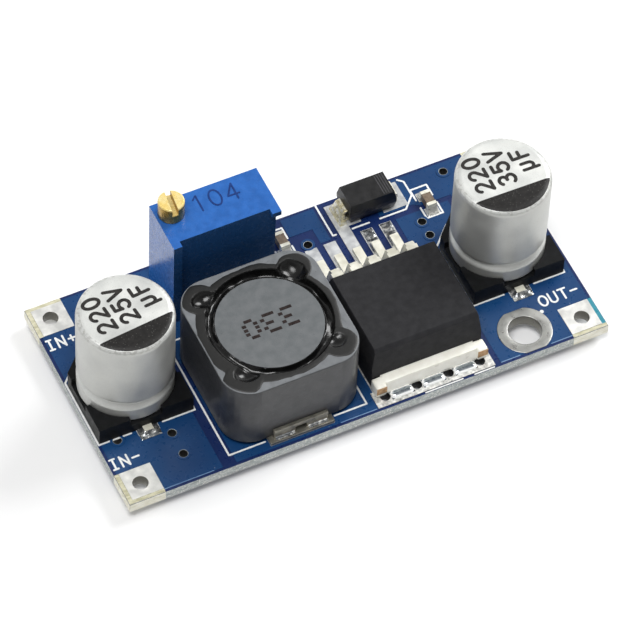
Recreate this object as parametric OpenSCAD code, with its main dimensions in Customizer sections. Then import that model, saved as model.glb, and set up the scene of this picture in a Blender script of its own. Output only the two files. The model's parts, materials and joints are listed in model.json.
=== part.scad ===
// Step-up voltage converter module on a small circuit board.
// The board's underside lies in the plane z = 0, centred on the origin.
// The input side is at -X, the output side at +X and the trimmer is at the back, +Y.

/* [Board] */
// Length of the circuit board
board_l = 43; // [38:0.5:50]
// Width of the circuit board
board_w = 21; // [18.5:0.5:30]
// Thickness of the circuit board
board_t = 1; // [0.8:0.1:2]
// Thickness of the tinned copper on the board
copper_t = 0.07; // [0.05:0.01:0.15]
// Bare margin between the copper and the board's edge
edge_gap = 0.22; // [0.1:0.02:0.4]

/* [Terminals] */
// Distance from a terminal hole's centre to the board's end
terminal_end = 1.65; // [1.65:0.05:2.2]
// Distance from a terminal hole's centre to the board's long edge
terminal_side = 1.6; // [1.6:0.05:2.2]
// Diameter of a terminal hole
terminal_hole_d = 1.3; // [0.8:0.1:1.6]
// Side of a square terminal pad
terminal_pad = 2.75; // [2.2:0.05:3]
// Shift of a terminal pad from its hole towards the board's middle
terminal_pad_shift = 0.12; // [0:0.02:0.3]

/* [Mounting holes] */
// Distance of a mounting hole past the middle of the capacitor's room
mount_past = 2.35; // [2:0.05:2.8]
// Distance from a mounting hole's centre to the board's long edge
mount_side = 2.35; // [2.2:0.05:2.6]
// Diameter of a mounting hole
mount_hole_d = 2.8; // [2.2:0.1:3.2]
// Width of the plated ring round a mounting hole
mount_ring_w = 0.9; // [0.5:0.1:1]

/* [Vias] */
// Diameter of a via's hole
via_hole_d = 0.7; // [0.4:0.05:0.8]
// Width of the ring round a via
via_ring_w = 0.16; // [0.1:0.02:0.3]
// Diameter of a thermal via in the tab land
tab_via_d = 0.85; // [0.4:0.05:1]
// Distance between neighbouring thermal vias
tab_via_pitch = 2.86; // [2:0.02:3]
// Distance of the thermal vias in front of the tab
tab_via_front = 0.1; // [0:0.05:0.2]
// Distance from an input land to the vias on its right
via_right_gap = 0.65; // [0.5:0.05:1]
// Distance from an input land to the via on its left
via_left_gap = 1.75; // [1:0.05:2.2]
// Distance from the input capacitor's base to the first via in front of it
via_front_gap = 1.4; // [1.2:0.05:1.6]
// Distance between the two vias in front of the input capacitor
via_front_pitch = 2.2; // [1.6:0.05:2.4]
// Distance from the output capacitor's base to the vias on its left
via_side_gap = 0.05; // [0:0.05:0.4]
// Distance of the first of these vias behind the board's middle line
via_side_y = 3.8; // [3.2:0.05:4]
// Distance between these two vias
via_side_pitch = 1.5; // [1.4:0.05:2]
// Distance from the via beside the output terminal to the board's end
via_back_end = 5.3; // [4.2:0.05:6]
// Distance from this via to the board's back edge
via_back_side = 1.2; // [0.8:0.05:1.6]

/* [Capacitors] */
// Margin of a capacitor's base round its can
cap_margin = 0.15; // [0.1:0.05:0.4]
// Height of a capacitor above the board
cap_h = 10.5; // [7:0.1:14]
// Thickness of the base under the can
cap_floor_t = 1; // [0.7:0.05:1.4]
// Height of the base's corner walls over its floor
cap_wall_h = 0.75; // [0.3:0.05:1.2]
// Opening between two corner walls
cap_wall_gap = 2.8; // [1.5:0.1:4]
// Corner cut on the positive side of the base
cap_chamfer = 2; // [0.8:0.1:2.3]
// Clearance between the can and the corner walls
cap_fit = 0.05; // [0.02:0.01:0.1]
// Height of the crimped groove over the can's foot
cap_groove_z = 2.1; // [1.6:0.1:3]
// Height of the crimped groove
cap_groove_h = 1.3; // [0.6:0.1:1.6]
// Depth of the crimped groove
cap_groove_t = 0.36; // [0.1:0.02:0.5]
// Radius of the can's upper rim
cap_rim_r = 0.55; // [0.2:0.05:0.9]
// Radius of the can's lower edge
cap_foot_r = 0.3; // [0.1:0.05:0.4]
// Width of a capacitor lead
cap_lead_w = 0.8; // [0.5:0.05:1.2]
// Thickness of a capacitor lead
cap_lead_t = 0.3; // [0.15:0.05:0.4]
// Reach of a capacitor lead past the base
cap_lead_out = 0.55; // [0.3:0.05:0.8]
// Gap between the inner ends of the two leads
cap_lead_gap = 2; // [1:0.1:3]
// Width of a capacitor's land
cap_land_w = 1.9; // [1.4:0.1:2.6]
// Length of a capacitor's land past the lead tip
cap_land_past = 0.05; // [0.05:0.05:0.3]
// Distance from the input capacitor's base to the board's end
cap_in_edge = 0.2; // [0.1:0.05:0.8]
// Distance from the output capacitor's base to the board's end
cap_out_edge = 0.9; // [0.1:0.05:1.2]
// Gap between the chip's tab and the output capacitor's base
cap_out_gap = 1.3; // [1.2:0.05:2]

/* [Inductor] */
// Side of the square shield
inductor_w = 12; // [11.4:0.1:12.8]
// Height of the inductor above the board
inductor_h = 7.2; // [5:0.1:9]
// Radius of the shield's upright corners
shield_corner_r = 2.5; // [1.5:0.1:3]
// Wall of the shield beside its bore
shield_wall = 0.7; // [0.4:0.05:1]
// Diameter of a corner pocket in the bore
pocket_d = 2.7; // [2:0.1:2.8]
// Wall between a corner pocket and the shield's corner
pocket_wall = 0.6; // [0.4:0.05:1]
// Gap between the drum core and the shield's bore
drum_gap = 0.87; // [0.4:0.01:1.2]
// Diameter of the drum core's post
drum_post_d = 4.8; // [3:0.1:6]
// Thickness of a drum flange
drum_flange_t = 1.2; // [0.8:0.1:1.6]
// Depth of the drum's top below the shield's top
drum_drop = 0.2; // [0.05:0.05:0.5]
// Distance from the winding to the drum's rim
winding_drop = 0.25; // [0.1:0.05:0.8]
// Clearance between the winding and the drum
winding_fit = 0.05; // [0.02:0.01:0.1]
// Depth of the resin's surface below the shield's top
resin_drop = 0.4; // [0.1:0.05:0.6]
// Depth of the resin fill
resin_t = 1; // [0.6:0.1:1.6]
// Width of a terminal clip's foot
clip_foot_w = 5.7; // [4:0.1:7]
// Width of a terminal clip's upright tab
clip_tab_w = 4.8; // [3:0.1:5.5]
// Thickness of a terminal clip
clip_t = 0.3; // [0.2:0.05:0.4]
// Reach of a clip's foot in front of the shield
clip_foot_out = 0.65; // [0.4:0.05:0.9]
// Reach of a clip's foot under the shield
clip_foot_in = 3.2; // [2.4:0.1:4]
// Height of a clip's upright tab
clip_tab_h = 0.95; // [0.6:0.05:2]
// Width of the notch in a clip
clip_notch_w = 1; // [0.6:0.1:2]
// Height of the notch in a clip
clip_notch_h = 0.6; // [0.2:0.05:0.65]
// Gap between the input capacitor's base and the inductor
inductor_gap = 1; // [0.5:0.05:1.3]
// Distance from the front clip's foot to the board's front edge, at most
inductor_front = 0.5; // [0.3:0.05:0.8]
// Share of the board's spare width in front of the inductor, at most
front_share = 0.18; // [0.1:0.01:0.3]

/* [Converter chip] */
// Width of the metal tab
tab_w = 10.1; // [10:0.05:10.6]
// Thickness of the metal tab
tab_t = 1.27; // [0.9:0.01:1.5]
// Length of the tab in front of the body
tab_ear = 1.15; // [0.8:0.05:1.6]
// Depth of the step in the tab's front edge, between its corners
tab_step = 0.3; // [0.1:0.05:0.4]
// Width of the tie-bar stub at each front corner of the tab
tab_stub_w = 0.95; // [0.6:0.05:1.4]
// Width of the tab inside the body
slug_w = 8.4; // [6:0.1:9]
// Length of the tab inside the body
slug_d = 6.8; // [5:0.1:7.4]
// Width of the moulded body
ic_w = 9.9; // [9.6:0.05:10]
// Width of the body's top face
ic_top_w = 9.3; // [8.8:0.05:9.5]
// Depth of the moulded body
ic_d = 9; // [8.6:0.05:9.2]
// Height of the moulded body
ic_h = 4.45; // [4.2:0.05:4.8]
// Lean of the body's front face
ic_front_lean = 0.55; // [0.2:0.05:0.8]
// Lean of the body's back face
ic_back_lean = 0.65; // [0.2:0.05:0.8]
// Bevel along the top front edge of the body
ic_bevel = 0.3; // [0.1:0.05:0.5]
// Height of the leads where they leave the body
ic_lead_z = 2.4; // [2.2:0.05:2.6]
// Distance between neighbouring leads
ic_lead_pitch = 1.7; // [1.6:0.02:1.8]
// Width of a lead's foot
ic_lead_w = 0.75; // [0.5:0.05:0.9]
// Thickness of a lead
ic_lead_t = 0.45; // [0.3:0.05:0.55]
// Width of a lead's shoulder
ic_shoulder_w = 1; // [0.9:0.05:1.3]
// Length of a lead's shoulder
ic_shoulder_l = 1.25; // [1:0.05:1.4]
// Depth of a lead's root inside the body
ic_root_l = 0.8; // [0.4:0.1:1]
// Run of the sloping part of a lead
ic_lead_run = 0.6; // [0.3:0.05:0.9]
// Reach of a lead from the body to its tip
ic_lead_reach = 4; // [3.4:0.1:4.2]
// Width of a lead's land
ic_land_w = 1.1; // [0.9:0.05:1.2]
// Gap between a lead's land and the diode's land
ic_land_gap = 0.9; // [0.4:0.05:1.2]
// Least length of a lead's land past the lead tip
ic_land_past = 0.2; // [0.1:0.05:0.6]
// Margin of the tab land beside the tab
tab_land_margin = 0.25; // [0.1:0.05:0.4]
// Gap between the inductor's shield and the tab
ic_gap = 0.9; // [0.6:0.05:1.3]
// Distance from the tab to the board's front edge
ic_front = 1.2; // [1:0.05:1.4]

/* [Diode] */
// Length of the diode's body
diode_l = 4.3; // [4:0.05:4.6]
// Width of the diode's body
diode_w = 2.6; // [2.2:0.05:2.8]
// Height of the diode
diode_h = 2.25; // [1.8:0.05:2.6]
// Lean of the diode's sides
diode_lean = 0.15; // [0.05:0.01:0.3]
// Width of a diode lead
diode_lead_w = 1.5; // [1:0.05:1.8]
// Thickness of a diode lead
diode_lead_t = 0.2; // [0.1:0.05:0.3]
// Reach of a diode lead beside the body
diode_lead_out = 0.4; // [0.3:0.05:0.6]
// Length of a diode lead under the body
diode_lead_in = 1.1; // [0.8:0.05:1.4]
// Depth of a diode lead's root inside the body
diode_root_l = 0.5; // [0.3:0.05:0.7]
// Length of a diode land past the lead
diode_land_past = 0.77; // [0.2:0.01:0.9]
// Distance from the diode's body to the board's back edge
diode_back = 0.5; // [0.4:0.05:0.8]

/* [Chip parts] */
// Length of a chip part
chip_l = 1.6; // [1.4:0.05:1.8]
// Width of a chip part
chip_w = 0.8; // [0.6:0.05:1]
// Height of a ceramic chip
ceramic_h = 0.8; // [0.5:0.05:1.2]
// Height of the chip resistor
resistor_h = 0.45; // [0.3:0.05:0.7]
// Length of a chip's metal end
chip_end_l = 0.32; // [0.2:0.02:0.5]
// Thickness of a chip's end plating
chip_plating_t = 0.03; // [0.02:0.01:0.06]
// Length of a chip land
chip_land_l = 0.9; // [0.7:0.05:1]
// Width of a chip land
chip_land_w = 1.2; // [1:0.05:1.3]
// Length of a chip land past the chip
chip_land_past = 0.5; // [0.2:0.05:0.6]
// Gap between the trimmer and the chips beside it
chip_left_gap = 1.55; // [1.2:0.05:1.9]
// Distance from the left ceramic chip to the board's back edge
chip_left_back = 2.6; // [2:0.05:2.8]
// Distance between the left ceramic chip and the resistor
chip_left_pitch = 2.95; // [2.8:0.05:3.2]
// Gap between the diode's land and the right ceramic chip's land
chip_right_gap = 0.9; // [0.5:0.05:1.1]
// Distance from the right ceramic chip to the board's back edge
chip_right_back = 3.7; // [2.4:0.05:3.8]

/* [Trimmer] */
// Width of the trimmer's housing
trimmer_w = 9.53; // [9:0.01:10]
// Depth of the trimmer's housing
trimmer_d = 4.83; // [4.6:0.01:5.4]
// Height of the trimmer's housing
trimmer_h = 10.03; // [9.8:0.01:11]
// Thickness of the housing's walls
trimmer_wall = 0.45; // [0.3:0.05:0.5]
// Thickness of the housing's roof
trimmer_roof = 1.6; // [1.3:0.05:2]
// Height of the feet under the housing
trimmer_foot_h = 0.25; // [0.15:0.05:0.5]
// Side of a foot under the housing
trimmer_foot_w = 1; // [0.6:0.1:1.4]
// Depth of the panel in the housing's front face
panel_t = 0.57; // [0.2:0.01:0.6]
// Width of the post on the panel's left
panel_post_w = 0.75; // [0.4:0.05:1.2]
// Width of the lip on the panel's right
panel_lip_w = 0.8; // [0.4:0.05:1.2]
// Height of the lip on the panel's right
panel_lip_h = 0.5; // [0.3:0.05:0.8]
// Inset of the housing's right end under the lip
panel_end_t = 0.2; // [0.1:0.02:0.22]
// Thickness of the potted base
potting_t = 1.35; // [1.1:0.05:1.6]
// Distance from the screw's axis to the housing's left end
screw_end = 1.3; // [1.3:0.02:1.5]
// Distance from the screw's axis to the housing's back face
screw_back = 1.4; // [1.4:0.02:1.6]
// Diameter of the screw's head
screw_head_d = 2.2; // [1.8:0.05:2.4]
// Height of the screw's head
screw_head_h = 1.65; // [1.2:0.05:2]
// Bevel on the screw's head
screw_head_bevel = 0.1; // [0.05:0.01:0.2]
// Width of the screw's slot
screw_slot_w = 0.5; // [0.3:0.05:0.7]
// Depth of the screw's slot
screw_slot_h = 0.7; // [0.4:0.05:1]
// Turn of the screw's slot, from the board's length, in degrees
screw_slot_turn = 84; // [0:1:180]
// Diameter of the screw's neck
screw_neck_d = 1.3; // [1.1:0.05:1.35]
// Diameter of the screw's collar
screw_collar_d = 1.9; // [1.7:0.05:2]
// Height of the screw's collar
screw_collar_h = 0.4; // [0.2:0.05:0.5]
// Diameter of the screw's threaded shaft, over its thread
screw_shaft_d = 1.5; // [1.3:0.05:1.55]
// Diameter of the journal at the screw's end
screw_journal_d = 1; // [0.6:0.05:1.2]
// Length of the journal at the screw's end
screw_journal_h = 0.7; // [0.4:0.05:0.9]
// Running clearance round the screw
screw_fit = 0.05; // [0.03:0.01:0.08]
// Depth of the seal's pocket in the roof
seal_pocket_h = 0.9; // [0.8:0.05:1]
// Height of the wiper carriage
carriage_h = 1.4; // [1:0.1:1.8]
// Length of the wiper carriage
carriage_l = 2.5; // [2:0.1:3]
// Distance from the screw's axis to the carriage
carriage_start = 0.4; // [0.3:0.05:0.5]
// Clearance between the carriage and the housing's back wall
carriage_fit = 0.1; // [0.05:0.01:0.15]
// Thickness of the resistance element's plate
element_t = 0.65; // [0.4:0.05:0.7]
// Clearance round the resistance element's plate
element_fit = 0.25; // [0.1:0.05:0.4]
// Depth of the element's slot in the potted base
element_slot = 0.5; // [0.3:0.05:0.7]
// Thickness of the wiper's spring strip
wiper_t = 0.1; // [0.06:0.01:0.12]
// Height of the wiper's spring strip
wiper_h = 0.8; // [0.4:0.05:1]
// Clearance between the wiper and the element
wiper_fit = 0.03; // [0.02:0.01:0.05]
// Space between the element and the carriage
wiper_space = 0.45; // [0.4:0.05:0.6]
// Width of a trimmer pin
pin_w = 0.5; // [0.4:0.05:0.6]
// Thickness of a trimmer pin
pin_t = 0.25; // [0.2:0.05:0.35]
// Distance between neighbouring pins
pin_pitch = 2.54; // [2:0.02:2.6]
// Length of a pin above the potted base
pin_top = 0.7; // [0.4:0.05:0.8]
// Length of a pin under the board
pin_tail = 0.85; // [0.7:0.05:1.5]
// Diameter of a pin's hole in the board
pin_hole_d = 0.85; // [0.75:0.05:1]
// Diameter of the land round a pin
pin_land_d = 1.7; // [1.4:0.1:2]
// Height of a pin's solder joint under the board
solder_h = 0.6; // [0.3:0.05:0.65]
// Distance from the trimmer to the board's back edge, at most
trimmer_back = 1.33; // [1:0.01:1.5]
// Share of the board's spare width behind the trimmer, at most
back_share = 0.47; // [0.3:0.01:0.6]
// Shift of the trimmer to the left of the inductor's centre
trimmer_shift = 0.16; // [0:0.02:0.3]

/* [Hidden] */
$fn = 64;
// Overshoot of a cutter through a face
cut = 1;
// Points along a rounded edge of a revolved profile
arc_steps = 5;
// Points along the crimped groove of a can
groove_steps = 10;
// Points along a bend in a strip
bend_steps = 4;
// Length taken off each side of a bend in a strip
bend_cut = 0.3;

tin = [0.85, 0.85, 0.84];
cream_tin = [0.9, 0.9, 0.84];
mask_blue = [0.06, 0.16, 0.42];
base_black = [0.1, 0.1, 0.11];
ferrite_grey = [0.36, 0.36, 0.38];
trimmer_blue = [0.14, 0.36, 0.78];
solder_grey = [0.7, 0.71, 0.72];

// Level of a part that stands on a land
land_z = board_t + copper_t;
terminal_x = board_l / 2 - terminal_end;
terminal_y = board_w / 2 - terminal_side;

// The capacitors take the length that the other parts and their gaps leave
cap_room = board_l - cap_in_edge - inductor_gap - inductor_w - ic_gap - tab_w - cap_out_gap - cap_out_edge;
cap_base_w = cap_room / 2;
cap_d = cap_base_w - 2 * cap_margin;
cap_lead_span = cap_base_w + 2 * cap_lead_out;
mount_x = board_l / 2 - cap_base_w / 2 - mount_past;
mount_y = board_w / 2 - mount_side;
cap_in_x = -board_l / 2 + cap_in_edge + cap_base_w / 2;
cap_out_x = board_l / 2 - cap_out_edge - cap_base_w / 2;
can_z = land_z + cap_floor_t;
can_h = board_t + cap_h - can_z;
can_r = cap_d / 2;

// Width of the board that the inductor and the trimmer leave free
spare_w = board_w - inductor_w - 2 * clip_foot_out - trimmer_d;
inductor_x = cap_in_x + cap_base_w / 2 + inductor_gap + inductor_w / 2;
inductor_edge = min(inductor_front, front_share * spare_w) + clip_foot_out;
inductor_y = -board_w / 2 + inductor_edge + inductor_w / 2;
shield_bore_d = inductor_w - 2 * shield_wall;
drum_d = shield_bore_d - 2 * drum_gap;
shield_z = land_z + clip_t;
shield_top = board_t + inductor_h;
// Distance of a pocket's centre from the shield's axis, along its diagonal
pocket_reach = (inductor_w / 2 - shield_corner_r) * sqrt(2) + shield_corner_r - pocket_wall - pocket_d / 2;
drum_top = shield_top - drum_drop;

ic_x = inductor_x + inductor_w / 2 + ic_gap + tab_w / 2;
tab_y = -board_w / 2 + ic_front;
ic_y = tab_y + tab_ear;
ic_back_y = ic_y + ic_d;
lead_tip_y = ic_back_y + ic_lead_reach;
tab_land_w = tab_w + 2 * tab_land_margin;
tab_land_y = -board_w / 2 + edge_gap;

diode_lead_end = diode_l / 2 + diode_lead_out;
diode_land_end = diode_lead_end + diode_land_past;
diode_x = ic_x - ic_land_w / 2 + diode_land_end;
diode_y = board_w / 2 - diode_back - diode_w / 2;
diode_land_l = diode_land_past + diode_lead_in + diode_lead_out;
lead_land_y = max(lead_tip_y + ic_land_past, diode_y - diode_w / 2 - ic_land_gap);

trimmer_x = inductor_x - trimmer_shift;
trimmer_edge = min(trimmer_back, back_share * spare_w);
trimmer_y = board_w / 2 - trimmer_edge - trimmer_d / 2;
potting_top = trimmer_foot_h + potting_t;
cavity_front = -trimmer_d / 2 + panel_t + trimmer_wall;
cavity_back = trimmer_d / 2 - trimmer_wall;
cavity_left = -trimmer_w / 2 + trimmer_wall;
cavity_right = trimmer_w / 2 - trimmer_wall - panel_end_t;
roof_z = trimmer_h - trimmer_roof;
screw_x = -trimmer_w / 2 + screw_end;
screw_y = trimmer_d / 2 - screw_back;
seal_pocket_d = screw_collar_d + 2 * screw_fit;
seal_d = seal_pocket_d / 2 - screw_neck_d / 2 - 2 * screw_fit;
pin_xs = [-pin_pitch, 0, pin_pitch];
element_y = -pin_t / 2 - element_t;
carriage_x = screw_x + carriage_start;
carriage_y = -pin_t / 2 + wiper_space;
// Middle of the carriage's travel
carriage_z = (potting_top + roof_z) / 2;

chip_left_x = trimmer_x + trimmer_w / 2 + chip_left_gap + chip_w / 2;
chip_left_y = board_w / 2 - chip_left_back;
resistor_y = chip_left_y - chip_left_pitch;
chip_right_x = diode_x + diode_land_end + chip_right_gap + chip_land_w / 2;
chip_right_y = board_w / 2 - chip_right_back;

via_r = via_hole_d / 2 + via_ring_w;
via_right_x = cap_in_x + cap_land_w / 2 + via_right_gap;
via_left_x = cap_in_x - cap_land_w / 2 - via_left_gap;
via_front_y = -cap_base_w / 2 - via_front_gap;
via_side_x = cap_out_x - cap_base_w / 2 - via_side_gap;
via_points = [
    [via_right_x, via_front_y],
    [via_right_x, via_front_y - via_front_pitch],
    [via_left_x, -cap_base_w / 2 - via_r / 2],
    [via_side_x, via_side_y],
    [via_side_x, via_side_y + via_side_pitch],
    [board_l / 2 - via_back_end, board_w / 2 - via_back_side],
    [lead_x(1), lead_land_y + via_r],
];
tab_via_y = tab_y - tab_via_front;

// Centre of a numbered lead along the board's length
function lead_x(i) = ic_x + (i - 3) * ic_lead_pitch;

// Points of a quarter turn of radius r about a centre, between two angles
function arc(centre, r, from, to) = [
    for (i = [0 : arc_steps])
        let (a = from + (to - from) * i / arc_steps)
        centre + r * [cos(a), sin(a)]
];

// A path with each inner corner replaced by a bend
function bent(path) = [
    path[0],
    for (i = [1 : len(path) - 2])
        let (
            before = path[i - 1] - path[i],
            after = path[i + 1] - path[i],
            start = path[i] + before * min(bend_cut / norm(before), 0.45),
            end = path[i] + after * min(bend_cut / norm(after), 0.45)
        )
        for (s = [0 : bend_steps])
            let (t = s / bend_steps)
            (1 - t) * (1 - t) * start + 2 * t * (1 - t) * path[i] + t * t * end,
    path[len(path) - 1],
];

// Outline of a strip of even thickness along a path
function side_of(step) = [-step[1], step[0]] / norm(step);
function mitre(path, i) =
    let (
        last = len(path) - 1,
        ahead = side_of(path[min(i + 1, last)] - path[min(i, last - 1)]),
        behind = side_of(path[max(i, 1)] - path[max(i - 1, 0)]),
        mean = ahead + behind
    )
    2 * mean / (mean * mean);
function strip(path, t) = concat(
    [for (i = [0 : len(path) - 1]) path[i] + mitre(path, i) * t / 2],
    [for (i = [len(path) - 1 : -1 : 0]) path[i] - mitre(path, i) * t / 2]
);

// A block that stands on the current plane, centred on the axis
module block(w, d, h) {
    translate([-w / 2, -d / 2, 0])
        cube([w, d, h]);
}

// An outline in the YZ plane, drawn out to a width along X
module along_x(w) {
    rotate([90, 0, 90])
        linear_extrude(w, center = true)
            children();
}

// An outline in the XZ plane, drawn out to a depth along Y
module along_y(d) {
    rotate([90, 0, 0])
        linear_extrude(d, center = true)
            children();
}

// A square outline with round corners
module rounded_square(w, r) {
    square([w, w - 2 * r], center = true);
    square([w - 2 * r, w], center = true);
    for (x = [-1, 1], y = [-1, 1])
        translate([x, y] * (w / 2 - r))
            circle(r);
}

// A hole right through the board
module board_hole(point, d) {
    translate([point[0], point[1], -cut])
        cylinder(d = d, h = board_t + 2 * cut);
}

// A rectangle of tinned copper on the board's top face
module land(x_from, x_to, y_from, y_to) {
    translate([x_from, y_from, board_t])
        cube([x_to - x_from, y_to - y_from, copper_t]);
}

// A plated hole with its copper on both faces of the board
module plated_hole(d) {
    difference() {
        union() {
            for (z = [-copper_t, board_t])
                translate([0, 0, z])
                    linear_extrude(copper_t)
                        children();
            cylinder(d = d + 2 * copper_t, h = board_t);
        }
        translate([0, 0, -cut])
            cylinder(d = d, h = board_t + 2 * cut);
    }
}

module circuit_board() {
    color(mask_blue)
    difference() {
        block(board_l, board_w, board_t);
        for (x = [-1, 1], y = [-1, 1])
            board_hole([x * terminal_x, y * terminal_y], terminal_hole_d + 2 * copper_t);
        for (s = [-1, 1])
            board_hole([s * mount_x, -s * mount_y], mount_hole_d + 2 * copper_t);
        for (p = via_points)
            board_hole(p, via_hole_d + 2 * copper_t);
        for (x = tab_via_xs())
            board_hole([x, tab_via_y], tab_via_d + 2 * copper_t);
        for (x = pin_xs)
            board_hole([trimmer_x + x, trimmer_y], pin_hole_d);
    }
}

// Centres of the thermal vias along the board's length
function tab_via_xs() = [for (i = [-1.5 : 1 : 1.5]) ic_x + i * tab_via_pitch];

module terminal(x, y) {
    color(tin)
    translate([x * terminal_x, y * terminal_y, 0])
        plated_hole(terminal_hole_d)
            translate([-x, -y] * terminal_pad_shift)
                square(terminal_pad, center = true);
}

// The ring is cut off along the board's edge
module mount_ring(s) {
    color(tin)
    translate([s * mount_x, -s * mount_y, 0])
        plated_hole(mount_hole_d)
            intersection() {
                circle(d = mount_hole_d + 2 * mount_ring_w);
                square([board_l, 2 * (mount_side - edge_gap)], center = true);
            }
}

module vias() {
    color(tin)
    for (p = via_points)
        translate([p[0], p[1], 0])
            plated_hole(via_hole_d)
                circle(r = via_r);
}

module tab_land() {
    color(tin)
    difference() {
        union() {
            land(ic_x - tab_land_w / 2, ic_x + tab_land_w / 2, tab_land_y, ic_y + slug_d);
            for (x = tab_via_xs())
                translate([x, tab_via_y, 0])
                    cylinder(d = tab_via_d + 2 * copper_t, h = board_t);
        }
        for (x = tab_via_xs())
            board_hole([x, tab_via_y], tab_via_d);
    }
}

// The middle lead's land runs on to the diode's left land
module ic_lands() {
    for (i = [1 : 5]) {
        y_end = i == 3 ? diode_y + diode_w / 2 : lead_land_y;
        land(lead_x(i) - ic_land_w / 2, lead_x(i) + ic_land_w / 2,
            ic_back_y + ic_shoulder_l, y_end);
    }
}

module diode_lands() {
    y_from = diode_y - diode_w / 2;
    y_to = diode_y + diode_w / 2;
    left = lead_x(3) + ic_land_w / 2;
    land(left, diode_x - diode_land_end + diode_land_l, y_from, y_to);
    land(diode_x + diode_land_end - diode_land_l, diode_x + diode_land_end, y_from, y_to);
}

module cap_lands(x) {
    reach = cap_lead_span / 2 + cap_land_past;
    land(x - cap_land_w / 2, x + cap_land_w / 2, -reach, -cap_lead_gap / 2);
    land(x - cap_land_w / 2, x + cap_land_w / 2, cap_lead_gap / 2, reach);
}

module inductor_lands() {
    reach = inductor_w / 2 + clip_foot_out;
    for (s = [-1, 1])
        translate([inductor_x, inductor_y + s * (reach - (clip_foot_in + clip_foot_out) / 2), board_t])
            block(clip_foot_w, clip_foot_in + clip_foot_out, copper_t);
}

module chip_lands(x, y) {
    for (s = [-1, 1])
        translate([x, y + s * (chip_l / 2 + chip_land_past - chip_land_l / 2), board_t])
            block(chip_land_w, chip_land_l, copper_t);
}

// Rings of copper round the trimmer's pins, under the board
module pin_lands() {
    for (x = pin_xs)
        translate([trimmer_x + x, trimmer_y, -copper_t])
            difference() {
                cylinder(d = pin_land_d, h = copper_t);
                translate([0, 0, -cut])
                    cylinder(d = pin_hole_d, h = copper_t + 2 * cut);
            }
}

module component_lands() {
    color(tin) {
        ic_lands();
        diode_lands();
        cap_lands(cap_in_x);
        cap_lands(cap_out_x);
        inductor_lands();
        chip_lands(chip_left_x, chip_left_y);
        chip_lands(chip_right_x, chip_right_y);
        chip_lands(chip_left_x, resistor_y);
        pin_lands();
    }
}

// Outline of a capacitor's base, with the positive side's corners cut off
module cap_base_outline() {
    w = cap_base_w / 2;
    polygon([
        [-w, -w],
        [w, -w],
        [w, w - cap_chamfer],
        [w - cap_chamfer, w],
        [-w + cap_chamfer, w],
        [-w, w - cap_chamfer],
    ]);
}

// The base has four corner walls round the can, and channels for the leads underneath
module cap_base(x) {
    color(base_black)
    translate([x, 0, land_z])
        difference() {
            linear_extrude(cap_floor_t + cap_wall_h)
                cap_base_outline();
            translate([0, 0, cap_floor_t]) {
                cylinder(r = can_r + cap_fit, h = cap_wall_h + cut);
                block(cap_wall_gap, cap_base_w + cut, cap_wall_h + cut);
                block(cap_base_w + cut, cap_wall_gap, cap_wall_h + cut);
            }
            for (s = [-1, 1])
                translate([0, s * (cap_lead_gap / 2 + cap_base_w / 2), 0]) {
                    translate([0, 0, -cut])
                        block(cap_lead_w, cap_base_w, cut + cap_lead_t);
                }
            for (s = [-1, 1])
                translate([0, s * (cap_lead_gap + cap_lead_w) / 2, 0])
                    cylinder(d = cap_lead_w, h = cap_floor_t + cut);
        }
}

// The can's profile, from its foot to the middle of its top
module cap_can(x) {
    groove = [
        for (i = [-groove_steps : groove_steps])
            let (t = i / groove_steps)
            [can_r - cap_groove_t * (1 + cos(180 * t)) / 2, cap_groove_z + t * cap_groove_h / 2]
    ];
    color("silver")
    translate([x, 0, can_z])
        rotate_extrude()
            polygon(concat(
                [[0, 0]],
                arc([can_r - cap_foot_r, cap_foot_r], cap_foot_r, -90, 0),
                groove,
                arc([can_r - cap_rim_r, can_h - cap_rim_r], cap_rim_r, 0, 90),
                [[0, can_h]]
            ));
}

// Each lead rises through the base to the can and lies flat under the base
module cap_leads(x) {
    color(tin)
    translate([x, 0, land_z])
        for (s = [-1, 1])
            scale([1, s, 1]) {
                foot_l = (cap_lead_span - cap_lead_gap) / 2;
                translate([0, cap_lead_gap / 2 + foot_l / 2, 0])
                    block(cap_lead_w, foot_l, cap_lead_t);
                translate([0, (cap_lead_gap + cap_lead_w) / 2, 0])
                    cylinder(d = cap_lead_w, h = cap_floor_t);
            }
}

// The bore with its four corner pockets
module shield_bore_outline() {
    circle(d = shield_bore_d);
    for (a = [45 : 90 : 315])
        rotate(a)
            translate([pocket_reach, 0])
                circle(d = pocket_d);
}

module inductor_shield() {
    color(ferrite_grey)
    translate([inductor_x, inductor_y, shield_z])
        linear_extrude(shield_top - shield_z)
            difference() {
                rounded_square(inductor_w, shield_corner_r);
                shield_bore_outline();
            }
}

module inductor_drum() {
    drum_h = drum_top - shield_z;
    color("dimgray")
    translate([inductor_x, inductor_y, shield_z]) {
        cylinder(d = drum_d, h = drum_flange_t);
        cylinder(d = drum_post_d, h = drum_h);
        translate([0, 0, drum_h - drum_flange_t])
            cylinder(d = drum_d, h = drum_flange_t);
    }
}

module inductor_winding() {
    winding_h = drum_top - shield_z - 2 * drum_flange_t - 2 * winding_fit;
    color("peru")
    translate([inductor_x, inductor_y, shield_z + drum_flange_t + winding_fit])
        difference() {
            cylinder(d = drum_d - 2 * winding_drop, h = winding_h);
            translate([0, 0, -cut])
                cylinder(d = drum_post_d + 2 * winding_fit, h = winding_h + 2 * cut);
        }
}

module inductor_resin() {
    color("black")
    translate([inductor_x, inductor_y, shield_top - resin_drop - resin_t])
        linear_extrude(resin_t)
            difference() {
                shield_bore_outline();
                circle(d = drum_d);
            }
}

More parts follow.
